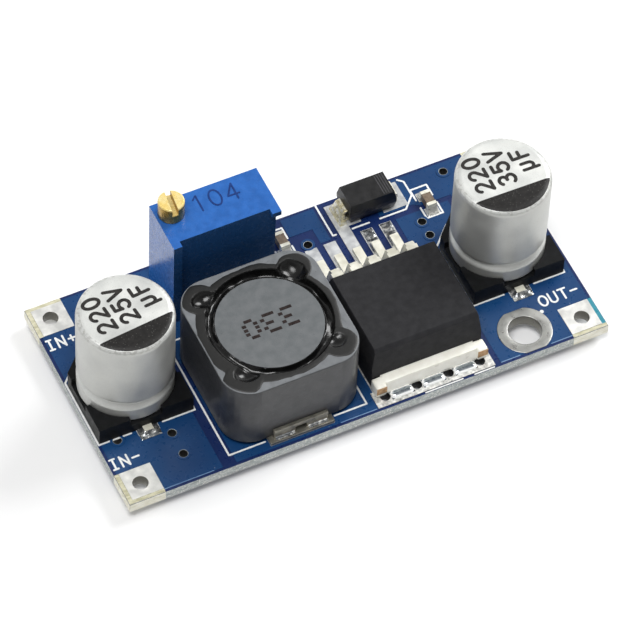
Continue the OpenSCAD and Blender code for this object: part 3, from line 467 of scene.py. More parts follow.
# Solids whose look differs from the rest of their slot
NODE_LOOKS = {
    **{node: node + "_tin" for node in MOUNT_RINGS}, "vias": "via_tin", "component_lands": "pad_tin",
    "tab_land": "land_tin", "ic_tab": "tab_tin", "inductor_clip_front": "clip_tin",
    "inductor_clip_back": "clip_tin", "inductor_drum": "drum_ferrite", "diode_body": "diode_compound",
    "diode_lead_left": "fluxed_solder",
}

# Radius of the soft edges on each kind of solid
SOFT_EDGES = {
    "mould_compound": 0.09, "black_plastic": 0.1, "blue_plastic": 0.09, "ferrite": 0.14,
    "tinned_lead": 0.05, "screw_brass": 0.05, "ceramic_tan": 0.05, "resistor_black": 0.05,
    "tinned_copper": 0.025, "solder_mask": 0.02,
}
NODE_EDGES = {"ic_tab": 0.2, **dict.fromkeys(MOUNT_RINGS, 0.05)}

# Least angle of a softened edge and of a sharply shaded one, and the gap that is welded
SOFT_ANGLE = 28
SHARP_ANGLE = 40
WELD = 0.001


def dress_solids():
    """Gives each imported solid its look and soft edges."""
    for part in frame["record"]["subparts"]:
        node, slot = part["node"], part["material_slot"]
        solid = frame["nodes"][node]
        solid.data.materials.clear()
        solid.data.materials.append(LOOKS[NODE_LOOKS.get(node, slot)])
        if slot in SOFT_EDGES:
            weld = solid.modifiers.new("weld", "WELD")
            weld.merge_threshold = WELD * MM
            bevel = solid.modifiers.new("soft_edges", "BEVEL")
            bevel.width = NODE_EDGES.get(node, SOFT_EDGES[slot]) * MM
            bevel.segments = 3
            bevel.limit_method = "ANGLE"
            bevel.angle_limit = radians(SOFT_ANGLE)
            bevel.harden_normals = True


def add_object(name, data):
    """A new object in the scene."""
    made = bpy.data.objects.new(name, data)
    bpy.context.scene.collection.objects.link(made)
    return made


def piece(name, mesh, look):
    """Turns a mesh drawn in millimetres into a piece that rides on the module."""
    bmesh.ops.recalc_face_normals(mesh, faces=mesh.faces)
    bmesh.ops.scale(mesh, vec=(MM, MM, MM), verts=mesh.verts)
    data = bpy.data.meshes.new(name)
    mesh.to_mesh(data)
    mesh.free()
    data.materials.append(LOOKS[look])
    data.shade_smooth()
    data.set_sharp_from_angle(angle=radians(SHARP_ANGLE))
    made = add_object(name, data)
    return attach(made, "module")


def band(mesh, one, other):
    """Joins two closed rows of points by faces."""
    for corners in zip(one, one[1:] + one[:1], other[1:] + other[:1], other):
        mesh.faces.new(corners)


def grid(mesh, rows):
    """Joins open rows of points into a sheet, and returns its border."""
    for one, other in zip(rows, rows[1:]):
        for corners in zip(one, one[1:], other[1:], other):
            mesh.faces.new(corners)
    return rows[0] + [r[-1] for r in rows[1:]] + rows[-1][-2::-1] + [r[0] for r in rows[-2:0:-1]]


def prism(mesh, outline, z_from, z_to):
    """A plate with an even thickness and an outline of 2-D points."""
    low = [mesh.verts.new((x, y, z_from)) for x, y in outline]
    high = [mesh.verts.new((x, y, z_to)) for x, y in outline]
    mesh.faces.new(low[::-1])
    mesh.faces.new(high)
    band(mesh, low, high)


def rectangle(low, high):
    return [(low[0], low[1]), (high[0], low[1]), (high[0], high[1]), (low[0], high[1])]


def spread(start, end, steps):
    """Values at even steps from one to another."""
    return [start + (end - start) * i / steps for i in range(steps + 1)]


def arc(centre, radii, start, end, steps=12):
    """Points on an ellipse between two angles in degrees."""
    angles = [radians(a) for a in spread(start, end, steps)]
    return [(centre[0] + radii[0] * cos(a), centre[1] + radii[1] * sin(a)) for a in angles]


def circle(centre, radius, steps=48):
    return arc(centre, (radius, radius), 0, 360 - 360 / steps, steps - 1)


def stroke_outline(path, width):
    """Outline of a line of even width along a path, with round ends."""
    points = [Vector(p) for p in path]
    steps = [(b - a).normalized() for a, b in zip(points, points[1:])]
    left, right = [], []
    for i, point in enumerate(points):
        before, after = steps[max(i - 1, 0)], steps[min(i, len(steps) - 1)]
        mean = (before + after).normalized()
        side = Vector((-mean.y, mean.x)) * (width / 2) / max(mean.dot(after), 0.5)
        left.append(point + side)
        right.append(point - side)

    def cap(centre, direction):
        turn = degrees(atan2(direction.y, direction.x))
        return arc(centre, (width / 2, width / 2), turn - 90, turn + 90, 6)[1:-1]

    return right + cap(points[-1], steps[-1]) + left[::-1] + cap(points[0], -steps[0])


def draw(mesh, strokes, width, z_from, z_to):
    for i, path in enumerate(strokes):
        prism(mesh, stroke_outline(path, width), z_from, z_to + OVERLAP * (i % 6))


# Strokes of each character in a cell one unit high, and the pitch and width of the cells
GLYPHS = {
    "I": [[(0.1, 0), (0.5, 0)], [(0.1, 1), (0.5, 1)], [(0.3, 0), (0.3, 1)]],
    "N": [[(0, 0), (0, 1)], [(0, 1), (0.6, 0)], [(0.6, 0), (0.6, 1)]],
    "O": [arc((0.32, 0.5), (0.34, 0.5), a, a + 180) for a in (0, 180)],
    "U": [[(0, 1), *arc((0.3, 0.3), (0.3, 0.3), 180, 360), (0.6, 1)]],
    "T": [[(0, 1), (0.64, 1)], [(0.32, 0), (0.32, 1)]],
    "V": [[(0, 1), (0.32, 0)], [(0.32, 0), (0.64, 1)]],
    "+": [[(0.05, 0.5), (0.6, 0.5)], [(0.325, 0.22), (0.325, 0.78)]],
    "-": [[(0.05, 0.5), (0.6, 0.5)]],
    "0": [arc((0.3, 0.5), (0.3, 0.5), a, a + 180) for a in (0, 180)],
    "1": [[(0.12, 0.8), (0.34, 1)], [(0.34, 1), (0.34, 0)]],
    "2": [[*arc((0.3, 0.71), (0.28, 0.29), 165, -35), (0, 0)], [(0, 0), (0.6, 0)]],
    "3": [arc((0.28, 0.75), (0.27, 0.25), 150, -90), arc((0.28, 0.26), (0.31, 0.26), 90, -150)],
    "4": [[(0.44, 0), (0.44, 1)], [(0.44, 1), (0, 0.3)], [(0, 0.3), (0.62, 0.3)]],
    "5": [[(0.55, 1), (0.1, 1)], [(0.1, 1), (0.05, 0.55)],
          [(0.05, 0.55), *arc((0.29, 0.33), (0.31, 0.32), 115, -150)]],
    "F": [[(0.05, 0), (0.05, 1)], [(0.05, 1), (0.58, 1)], [(0.05, 0.52), (0.48, 0.52)]],
    "u": [[(0.04, -0.26), (0.04, 0.7)],
          [(0.04, 0.3), *arc((0.27, 0.25), (0.23, 0.25), 180, 360), (0.5, 0.7)]],
}
GLYPH_STEP = 0.93
GLYPH_WIDTH = 0.62


def lettering(text, origin, height, turn=0.0):
    """Strokes of a text that starts at a point and runs at an angle in degrees."""
    along = Vector((cos(radians(turn)), sin(radians(turn))))
    across = Vector((-along.y, along.x))
    strokes = []
    for i, letter in enumerate(text):
        for path in GLYPHS[letter]:
            strokes.append([
                Vector(origin) + along * (x + i * GLYPH_STEP) * height + across * y * height
                for x, y in path
            ])
    return strokes


def skin(mesh, low, high, floor, height, steps=(28, 28)):
    """A closed skin on a rectangle: height(x, y) is its height over the floor."""
    xs, ys = (spread(low[i], high[i], steps[i]) for i in (0, 1))
    rim = grid(mesh, [[mesh.verts.new((x, y, floor + max(height(x, y), FILM))) for x in xs] for y in ys])
    feet = [mesh.verts.new((v.co.x, v.co.y, floor)) for v in rim]
    band(mesh, rim, feet)
    mesh.faces.new(feet[::-1])


def gap_to(low, high, x, y):
    """Distance from a point to a rectangle, 0 inside it."""
    return hypot(max(low[0] - x, 0, x - high[0]), max(low[1] - y, 0, y - high[1]))


def edge_fall(low, high, x, y, width):
    """1 well inside a rectangle, and 0 at its edge."""
    inside = min(x - low[0], high[0] - x, y - low[1], high[1] - y)
    return sin(pi / 2 * min(inside / width, 1))


def wobble(x, y, size, seed=0.0):
    return noise.noise(Vector((x / size, y / size, seed)))


def wet_joint(mesh, land, foot, height, reach, seed):
    """Solder that covers a land and climbs the foot on it, each given by two corners."""
    # Its film, by how much and over what length that varies, and the width of its edge
    film, vary, grain, edge = 0.05, 0.03, 0.35, 0.16

    def level(x, y):
        climb = max(1 - gap_to(*foot, x, y) / reach, 0) ** 2
        thickness = film + vary * wobble(x, y, grain, seed)
        return edge_fall(*land, x, y, edge) * (thickness + (height - film) * climb)

    skin(mesh, *land, LAND, level)


def solder_joints():
    """Solder at the leads of the capacitors, the chip, the diode and the small chips."""
    bright, small, fluxed = bmesh.new(), bmesh.new(), bmesh.new()

    def both_ends(mesh, node, body, side, end, under, height, reach):
        """Joints at a part's front and back, from past its leads in to under its body."""
        low, high = box(node)
        body_low, body_high = box(body)
        for y_from, y_to in ((low.y - end, body_low.y + under), (body_high.y - under, high.y + end)):
            land = (low.x - side, y_from), (high.x + side, y_to)
            wet_joint(mesh, land, (low, high), height, reach, y_to)

    for cap in ("input_cap", "output_cap"):
        both_ends(bright, cap + "_leads", cap + "_base",
                  side=0.5, end=0.55, under=0.1, height=0.25, reach=0.42)
    for chip in ("left_ceramic_ends", "right_ceramic_ends", "resistor_ends"):
        both_ends(small, chip, chip, side=0.1, end=0.5, under=0.3, height=0.5, reach=0.55)
    # The chip: a land inside its lead's sides, past its end and back from it, and the foot likewise
    side, end, under, foot_side, foot_under = 0.02, 1.6, 0.9, 0.2, 1.5
    for i in (4, 5):
        low, high = box(f"ic_lead_{i}")
        land = (low.x + side, high.y - under), (high.x - side, high.y + end)
        foot = (low.x + foot_side, high.y - foot_under), (high.x - foot_side, high.y)
        wet_joint(bright, land, foot, height=0.35, reach=0.6, seed=i)
    # The diode: a land past its lead's sides and end and in under it, the foot, and the solder over it
    front, back, end, under, foot_side, over = 0.35, 0.3, 0.4, 0.3, 0.1, 0.06
    low, high = box("diode_lead_left")
    land = (low.x - end, low.y - front), (low.x + under, high.y + back)
    foot = (low.x, low.y + foot_side), (high.x, high.y - foot_side)
    wet_joint(fluxed, land, foot, height=high.z - LAND + over, reach=0.75, seed=3.0)
    piece("solder_joints", bright, "solder")
    piece("chip_joints", small, "chip_solder")
    piece("diode_solder", fluxed, "fluxed_solder")


# Thermal vias at the chip's tab: distance from its front, pitch, and places along it
TAB_VIA_OUT = 0.1
TAB_VIA_PITCH = 2.86
TAB_VIAS = [middle("ic_tab").x + i * TAB_VIA_PITCH for i in (-1.5, -0.5, 0.5, 1.5)]


def tab_solder():
    """Solder along the tab's front, and a bright pool between thermal vias."""
    low, high = box("ic_tab")
    # Width of the tab's end stubs, and how far its front stands back between them
    stub, step = 0.95, 0.3
    left, right, face = low.x + stub, high.x - stub, low.y + step
    # The fillet's height at its foot, its rise, its width and its reach into the tab
    foot, rise, width, sunk = 0.3, 0.8, 0.14, 0.02
    # Half-lengths and height of a pool, and its distance from the tab
    half_x, half_y, height, out = 1.01, 0.41, 0.24, 0.22
    middles = [(a + b) / 2 for a, b in zip(TAB_VIAS, TAB_VIAS[1:])]
    y_mid = low.y - out
    fillet, pools, ends = bmesh.new(), bmesh.new(), bmesh.new()

    def steep(x, y):
        return foot + rise * max(1 - (face - y) / width, 0) ** 1.3 + 0.03 * wobble(x, y, 0.9)

    def dome(x, y):
        past = max(min(abs(x - m) for m in middles) - (half_x - half_y), 0)
        away = hypot(past, y - y_mid) / half_y
        return height * max(1 - away ** 2, 0) ** 0.5

    skin(fillet, (left, face - width), (right, face + sunk), LAND, steep, (120, 8))
    for m in middles:
        skin(pools, (m - half_x, y_mid - half_y), (m + half_x, y_mid + half_y), LAND, dome, (64, 32))
    piece("tab_fillet", fillet, "solder_fillet")
    piece("tab_pools", pools, "pooled_solder")
    # A stub's bare end: inset from its sides, lift from its face, and depths below its top
    inset, lift, bar_low, bar_high = 0.02, 0.03, 0.85, 0.12
    for x_from, x_to in ((low.x, left), (right, high.x)):
        outline = rectangle((x_from + inset, low.y - lift), (x_to - inset, low.y + sunk))
        prism(ends, outline, high.z - bar_low, high.z - bar_high)
    piece("tie_bar_ends", ends, "bare_copper")


# Print on a can: the segment's distances from axis and rim, its inked share, the can's edge, the rating
SEGMENT_CHORD = 1.72
SEGMENT_EDGE = 0.25
SEGMENT_SHARE = 0.99
CAN_RIM = 0.55
RATING_HEIGHT = 1.4
RATING_STROKE = 0.29
RATING_SHIFT = 0.75


def cap_print(cap, lines, turn):
    """The dark segment and the rating on a can's top, turned by degrees."""
    low, high = box(cap + "_can")
    centre, can_r = middle(cap + "_can"), (high.x - low.x) / 2
    reach, across, along = can_r - SEGMENT_EDGE, 8, 48
    half = acos(SEGMENT_CHORD / reach) * SEGMENT_SHARE

    def surface(r):
        past = max(r - can_r + CAN_RIM, 0)
        return high.z - CAN_RIM + sqrt(CAN_RIM ** 2 - past ** 2)

    def sheet(mesh, lift):
        rows = []
        for i in range(along + 1):
            a = half * (2 * i / along - 1)
            inner, bearing = SEGMENT_CHORD / cos(a), a + radians(turn - 90)
            x, y = cos(bearing), sin(bearing)
            rows.append([mesh.verts.new((centre.x + r * x, centre.y + r * y, surface(r) + lift))
                         for r in spread(inner, reach, across)])
        return grid(mesh, rows)

    segment, words = bmesh.new(), bmesh.new()
    band(segment, sheet(segment, INK), sheet(segment, -INK))
    spin = Matrix.Rotation(radians(turn), 2)
    for text, place in lines:
        length = ((len(text) - 1) * GLYPH_STEP + GLYPH_WIDTH) * RATING_HEIGHT
        start = centre.xy + spin @ Vector((place + RATING_HEIGHT / 2, RATING_SHIFT - length / 2))
        strokes = lettering(text, start, RATING_HEIGHT, 90 + turn)
        draw(words, strokes, RATING_STROKE, high.z - FILM, high.z + INK)
    piece(cap + "_segment", segment, "segment_ink")
    piece(cap + "_rating", words, "black_ink")


def resin():
    """Resin cast round the drum: a groove, a hollow in each corner pocket, and a film over the rim."""
    shield_low, shield_high = box("inductor_shield")
    drum_low, drum_high = box("inductor_drum")
    centre = middle("inductor_drum")
    half, drum_r = (shield_high.x - shield_low.x) / 2, (drum_high.x - drum_low.x) / 2
    bottom = box("inductor_resin")[0].z
    bore_r, pocket_r, pocket_at, corner_r = 5.3, 1.35, 5.5, 2.5
    groove_r, groove_depth, film = 5.22, 0.66, 0.05
    # Width of the stretch that climbs the drum, and its end below the drum's top
    climb_width, climb_below = 0.16, 0.1
    # Middle from the axis, half-lengths and depth of the hollow in each pocket
    hollows = (
        ((3.75, 3.75), (1.15, 1.2), 0.75), ((-3.95, 4.05), (1.1, 0.8), 0.62),
        ((-3.8, -3.9), (1.15, 0.85), 0.55), ((4.05, -3.9), (0.85, 0.7), 0.3),
    )
    # Run over the rim: usual and least, what it leaves of the rim, and its slow and quick changes
    run_usual, run_least, margin, run_slow, run_quick = 0.36, 0.1, 0.12, 0.2, 0.06
    # Bearing, width and reach of each place where more of it has run over
    spills = ((198, 32, 0.6), (140, 22, 0.35), (235, 18, 0.3), (330, 20, 0.2))
    # Bearing and width of the stretches where the groove falls outwards and where it is fuller
    outward, fuller = (330, 20), (192, 32)

    def wall(a):
        """Radius of the bore and its pockets in a direction."""
        off = radians(degrees(a) % 90 - 45)
        side = pocket_at * sin(off)
        if abs(side) >= pocket_r:
            return bore_r
        return max(bore_r, pocket_at * cos(off) + sqrt(pocket_r ** 2 - side ** 2))

    def rim(a):
        """Distance from the axis to the shield's outline in a direction."""
        c, s = sorted((abs(cos(a)), abs(sin(a))))
        straight, core = half / s, half - corner_r
        if c * straight <= core:
            return straight
        along = core * (c + s)
        return along + sqrt(along ** 2 - 2 * core ** 2 + corner_r ** 2)

    def spill(a):
        """How far the resin has run over the shield's rim in a direction."""
        way = Vector((cos(a), sin(a), 0))
        slow, quick = noise.noise(way * 2.3 + Vector((4.1, 0.3, 0))), noise.noise(way * 9)
        run = run_usual + run_slow * slow + run_quick * quick
        for bearing, width, reach in spills:
            off = (degrees(a) - bearing + 180) % 360 - 180
            run += reach * exp(-(off / width) ** 2)
        return min(max(run, run_least), rim(a) - wall(a) - margin)

    def sunk(a, r):
        """Depth of the skin below the film, in the groove or in a hollow."""
        x, y = r * cos(a), r * sin(a)
        share = (r - drum_r) / (groove_r - drum_r)
        depths = []
        if share < 1:
            bearing = degrees(a)
            fall, fill = (exp(-((bearing - at) / width) ** 2) for at, width in (outward, fuller))
            bowl = 1 - abs(2 * share - 1) ** 2.5
            tilted = min(0.25 + 0.55 * share, 5 * (1 - share))
            uneven = 0.3 * wobble(x, y, 1.1, 2.0) * (1 - fall) - 0.6 * fill
            depths.append(groove_depth * (bowl + (tilted - bowl) * fall) * (1 + uneven))
        for (at_x, at_y), (half_x, half_y), depth in hollows:
            off = hypot((x - at_x) / half_x, (y - at_y) / half_y) * (1 + 0.12 * wobble(x, y, 0.7, 5.0))
            depths.append(depth * max(1 - off ** 2, 0) ** 0.75)
        return sum(d ** 3 for d in depths) ** (1 / 3)

    directions, steps = 432, 44

    def section(a):
        """Outline of the resin in a direction: distances from the axis and heights."""
        bore, run, rim_z = wall(a), spill(a), shield_high.z - FILM
        points = [(bore + run, rim_z), (bore, rim_z), (bore, bottom), (drum_r, bottom)]
        for k in range(steps + 1):
            r = drum_r + (bore + run - drum_r) * (k / steps)
            over = max(r - bore, 0) / run
            z = shield_high.z + FILM + film * sqrt(max(1 - over ** 2, 0)) - sunk(a, r)
            climb = max(1 - (r - drum_r) / climb_width, 0) ** 2
            points.append((r, z + (drum_high.z - climb_below - z) * climb))
        return points

    mesh, columns = bmesh.new(), []
    for i in range(directions):
        a = 2 * pi * i / directions
        x, y = cos(a), sin(a)
        columns.append([mesh.verts.new((centre.x + r * x, centre.y + r * y, z)) for r, z in section(a)])
    for one, other in zip(columns, columns[1:] + columns[:1]):
        band(mesh, one, other)
    made = piece("inductor_resin_cast", mesh, "black_resin")
    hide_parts("inductor_resin")


# Dots of each digit, row by row from its top, in a cell of 4 by 5
DOT_DIGITS = {
    "3": ("###.", "...#", ".##.", "...#", "###."),
    "0": (".##.", "#..#", "#..#", "#..#", ".##."),
}


def inductor_mark(text):
    """A generic value in ink dots on the drum."""
    centre, top = middle("inductor_drum"), box("inductor_drum")[1].z
    # Pitch of the digits, of the dots and of their rows, and half-lengths of a dot
    step, pitch, row_pitch, half_x, half_y = 1.6, 0.33, 0.4125, 0.1736, 0.14
    mesh = bmesh.new()
    for n, digit in enumerate(text):
        for row, dots in enumerate(DOT_DIGITS[digit]):
            for column, mark in enumerate(dots):
                if mark == "#":
                    x = centre.x - ((n - 1) * step + (column - 1.5) * pitch)
                    y = centre.y + (row - 2) * row_pitch
                    dot = rectangle((x - half_x, y - half_y), (x + half_x, y + half_y))
                    prism(mesh, dot, top - FILM, top + INK)
    piece("inductor_mark", mesh, "brown_ink")


def trimmer_value(text):
    """A generic value printed on the trimmer's top."""
    low, high = box("trimmer_housing")
    # Where it starts from the back left corner, its height and its strokes
    right, front, height, stroke = 3.25, 2.2, 1.6, 0.15
    mesh = bmesh.new()
    strokes = lettering(text, (low.x + right, high.y - front), height)
    draw(mesh, strokes, stroke, high.z - FILM, high.z + INK)
    piece("trimmer_value", mesh, "dark_blue_ink")


def bare_corners():
    """Bare laminate at the corners, under thin lacquer at the output end."""
    bare, veiled = bmesh.new(), bmesh.new()
    inset, tuck, skirt = 0.03, 0.1, 0.03
    x_end, y_end = BOARD_HIGH.xy
    faces = ((TOP - FILM, TOP + POUR + FILM), (BOARD_LOW.z - POUR - FILM, BOARD_LOW.z + FILM))
    walls = ((BOARD_LOW.z + skirt, TOP - skirt),)
    for node in TERMINALS:
        pad = middle(node)
        (x_in, x_pad), (y_in, y_pad) = (sorted(abs(corner[i]) for corner in box(node)) for i in (0, 1))
        x_tuck, y_tuck, x_out, y_out = x_pad - tuck, y_pad - tuck, x_end - inset, y_end - inset
        for mesh, low, high, levels in (
            (veiled if pad.x > 0 else bare, (x_tuck, y_in), (x_out, y_pad), faces),
            (bare, (x_tuck, y_pad), (x_out, y_out), faces),
            (bare, (x_in, y_tuck), (x_tuck, y_out), faces),
            (bare, (x_in - FILM, y_end - FILM), (x_end + FILM, y_end + FILM), walls),
            (bare, (x_end - FILM, y_in - FILM), (x_end + FILM, y_end + FILM), walls),
        ):
            outline = [(copysign(x, pad.x), copysign(y, pad.y)) for x, y in rectangle(low, high)]
            for z_from, z_to in levels:
                prism(mesh, outline, z_from, z_to)
    piece("bare_corners", bare, "bare_laminate")
    piece("veiled_ends", veiled, "thin_lacquer")


def board_lines():
    """White outlines printed round the parts, as paths of 2-D points."""
    lines = []
    # Round a capacitor: past its sides and ends, the cut corners, and the gap at a lead
    side, end, cut, gap = 0.09, 0.06, 1.75, 1.0
    for cap in ("input_cap", "output_cap"):
        low, high = box(cap + "_base")
        lead_low, lead_high = box(cap + "_leads")
        y0, y1 = low.y - end, high.y + end
        for x, s, lead in ((low.x - side, 1, lead_low.x - gap), (high.x + side, -1, lead_high.x + gap)):
            lines.append([(lead, y0), (x, y0), (x, y1 - cut), (x + s * cut, y1), (lead, y1)])
    # Round the inductor: past its left side, inside its right, past its ends, and the gap at a clip
    left, right, end, gap = 0.29, 0.02, 0.05, 0.25
    low, high = box("inductor_shield")
    foot_low, foot_high = box("inductor_clip_front")
    y0, y1 = low.y - end, high.y + end
    for x, foot in ((low.x - left, foot_low.x - gap), (high.x - right, foot_high.x + gap)):
        lines.append([(foot, y0), (x, y0), (x, y1), (foot, y1)])
    # Round the diode: three stretches, placed from the corners of its body
    low, high = box("diode_body")
    left, front, right = low.x - 1.71, low.y - 0.37, high.x + 1.84
    lines.append([(left, high.y + 0.4), (left, front), (low.x - 1.42, front)])
    lines.append([(low.x + 0.1, front), (low.x + 1.63, front)])
    lines.append([(low.x + 2.64, front), (high.x + 0.75, front), (right, front + 1.15),
                  (right, high.y - 0.3), (right - 0.44, high.y + 0.1)])
    # Round a ceramic chip: half a bracket's width, and its ends and back from the middle
    half, near, far = 0.76, 0.43, 1.6
    for chip, lift in (("left_ceramic", 0.0), ("right_ceramic", 0.26)):
        mid = middle(chip + "_ends")
        x0, x1, y_mid = mid.x - half, mid.x + half, mid.y + lift
        for s in (-1, 1):
            y0, y1 = y_mid + s * near, y_mid + s * far
            lines.append([(x0, y0), (x0, y1), (x1, y1), (x1, y0)])
    return lines


# Terminal signs, and where each starts from the middle of its terminal
SIGN_HEIGHT = 1.0
SIGNS = (
    ("IN+", "terminal_in_pos", (-1.52, -2.88)),
    ("IN-", "terminal_in_neg", (-1.62, 1.86)),
    ("OUT+", "terminal_out_pos", (-2.32, -3.16)),
    ("OUT-", "terminal_out_neg", (-2.32, 2.16)),
)
OUTPUT_DOT = (17.12, -7.03)

# Lines along the board's front edge: their inset, and their spans from the tab's left end
EDGE_INSET = 0.1
EDGE_SPANS = ((3.94, 7.3), (8.39, 10.16))


def board_print():
    """Outlines and terminal signs in white ink."""
    mesh = bmesh.new()
    for path in board_lines():
        draw(mesh, list(zip(path, path[1:])), LINE, TOP - FILM, PRINT)
    tab, edge = box("ic_tab")[0], BOARD_LOW.y + EDGE_INSET
    marks = [[(tab.x + x, edge) for x in span] for span in EDGE_SPANS]
    draw(mesh, marks, EDGE_LINE, TOP - FILM, PRINT)
    strokes = []
    for text, node, shift in SIGNS:
        hole = middle(node)
        strokes += lettering(text, (hole.x + shift[0], hole.y + shift[1]), SIGN_HEIGHT)
    draw(mesh, strokes, STROKE, TOP - FILM, PRINT)
    prism(mesh, circle(OUTPUT_DOT, STROKE), TOP - FILM, PRINT)
    piece("board_print", mesh, "white_ink")


def plate(mesh, outlines, z_from, z_to):
    """Adds a plate of flat outlines; an outline inside another is a hole in it."""
    curve = bpy.data.curves.new("outline", "CURVE")
    curve.dimensions, curve.fill_mode = "2D", "BOTH"
    curve.extrude = (z_to - z_from) / 2
    for outline in outlines:
        spline = curve.splines.new("POLY")
        spline.points.add(len(outline) - 1)
        for point, (x, y) in zip(spline.points, outline):
            point.co = (x, y, 0, 1)
        spline.use_cyclic_u = True
    draft = bpy.data.objects.new("outline", curve)
    flat = bpy.data.meshes.new_from_object(draft)
    flat.transform(Matrix.Translation((0, 0, (z_from + z_to) / 2)))
    mesh.from_mesh(flat)
    bmesh.ops.remove_doubles(mesh, verts=mesh.verts, dist=WELD / 2)
    bpy.data.objects.remove(draft)
    bpy.data.curves.remove(curve)
    bpy.data.meshes.remove(flat)


def via_places():
    """Centres of the plated vias, from the separate bodies of their solid."""
    mesh = bmesh.new()
    mesh.from_mesh(frame["nodes"]["vias"].data)
    bmesh.ops.remove_doubles(mesh, verts=mesh.verts, dist=WELD * MM)
    places, left = [], set(mesh.verts)
    while left:
        body, fresh = set(), {next(v for v in mesh.verts if v in left)}
        while fresh:
            body |= fresh
            fresh = {e.other_vert(v) for v in fresh for e in v.link_edges} - body
        left -= body
        xs, ys = [v.co.x / MM for v in body], [v.co.y / MM for v in body]
        places.append(Vector(((min(xs) + max(xs)) / 2, (min(ys) + max(ys)) / 2)))
    mesh.free()
    return places


# The plated vias, the radii of the lacquer round each, and of the opening in the copper
VIAS = via_places()
VIA_HOLE = 0.4
VIA_RIM = 0.6
VIA_CUT = 0.43

# The copper's ends, its areas under the lacquer on the component side, and a corner of its area behind
END_X = 21.25
END_Y = 10.25
AREAS = (
    rectangle((-END_X, 0.4), (-12.6, END_Y)),
    rectangle((-END_X, -END_Y), (-13.2, -0.1)),
    rectangle((-12.0, -END_Y), (0.64, -2.2)),
    rectangle((-12.1, 0.4), (-0.45, END_Y)),
    [(1.5, 8.35), (3.6, 8.35), (3.6, 6.75), (4.55, 6.75), (4.55, END_Y), (1.5, END_Y)],
    [(11.75, -END_Y), (END_X, -END_Y), (END_X, 2.0), (15.2, 2.0), (15.2, 6.45), (10.35, 6.45),
     (10.35, 1.4), (11.75, 1.4)],
    [(9.3, 7.25), (12.3, 7.25), (12.9, 6.9), (15.7, 6.9), (15.7, 2.5), (END_X, 2.5), (END_X, END_Y),
     (9.3, END_Y)],
)
BACK_CORNER = [(18.2, END_Y), (18.2, 7.2), (END_X, 7.2)]

# Where the lacquer is thin over the front edge of the copper; the line's light tone is partly that thin
# lacquer and partly a painted highlight on the edge
FRONT_EDGE = -10.22
FRONT_WIDTH = 0.07
FRONT_LINES = ((-18.3, -14.0), (-2.7, 0.5), (11.8, 13.5), (16.4, 18.3))


def within(point, outline):
    """Whether a point lies inside an outline."""
    x, y = point
    sides = zip(outline, outline[1:] + outline[:1])
    return sum((y0 > y) != (y1 > y) and x < x0 + (y - y0) * (x1 - x0) / (y1 - y0)
               for (x0, y0), (x1, y1) in sides) % 2 == 1


def pours():
    """Lacquer over the copper areas, a little raised, and round the vias."""
    # Radii of the openings in the copper at terminals, mounting rings, trimmer pins and thermal vias
    terminal_r, mount_r, pin_r, thermal_r = 1.0, 1.55, 1.1, 0.5
    holes = [(middle(n).xy, terminal_r) for n in TERMINALS]
    holes += [(middle(n).xy, mount_r) for n in MOUNT_RINGS]
    holes += [(p, VIA_CUT) for p in VIAS]
    holes += [(middle(f"trimmer_pin_{i}").xy, pin_r) for i in (1, 2, 3)]
    tab = box("ic_tab")[0]
    thermal = [(Vector((x, tab.y - TAB_VIA_OUT)), thermal_r) for x in TAB_VIAS]
    back = BACK_CORNER + [(x, -y) for x, y in BACK_CORNER[::-1]]
    back += [(-x, -y) for x, y in BACK_CORNER] + [(-x, y) for x, y in BACK_CORNER[::-1]]
    mesh = bmesh.new()
    sides = [(area, holes, TOP, TOP + POUR) for area in AREAS]
    sides.append((back, holes + thermal, BOARD_LOW.z - POUR, BOARD_LOW.z))
    for area, cuts, z_from, z_to in sides:
        plate(mesh, [area] + [circle(p, r) for p, r in cuts if within(p, area)], z_from, z_to)
    for p in VIAS:
        for z_from, z_to in ((TOP, LAND + INK / 2), (BOARD_LOW.z - LAND + TOP - INK / 2, BOARD_LOW.z)):
            plate(mesh, [circle(p, VIA_RIM), circle(p, VIA_HOLE)], z_from, z_to)
    # A plate in the lacquered copper's look over the tab land's left margin, where the land shows dark:
    # its lap, and its start in front of the chip
    lap, front = 0.02, 0.5
    land_low, land_high = box("tab_land")
    margin = rectangle((land_low.x - lap, box("ic_body")[0].y - front), (tab.x - lap, land_high.y))
    plate(mesh, [margin], TOP, LAND + INK)
    piece("lacquered_copper", mesh, "mask_on_copper")
    edge = bmesh.new()
    lines = [[(x_from, FRONT_EDGE), (x_to, FRONT_EDGE)] for x_from, x_to in FRONT_LINES]
    draw(edge, lines, FRONT_WIDTH, TOP, TOP + POUR + FILM)
    piece("copper_edge", edge, "edge_lacquer_and_highlight")


def diode_band():
    """A plain band of fine lines that marks the diode's cathode end."""
    low, high = box("diode_body")
    inset, width = 0.3, 0.08
    mesh = bmesh.new()
    lines = [[(high.x - x, low.y + inset), (high.x - x, high.y - inset)] for x in (0.38, 0.6, 0.82, 1.04)]
    draw(mesh, lines, width, high.z - FILM, high.z + INK / 2)
    piece("diode_band", mesh, "band_ink")


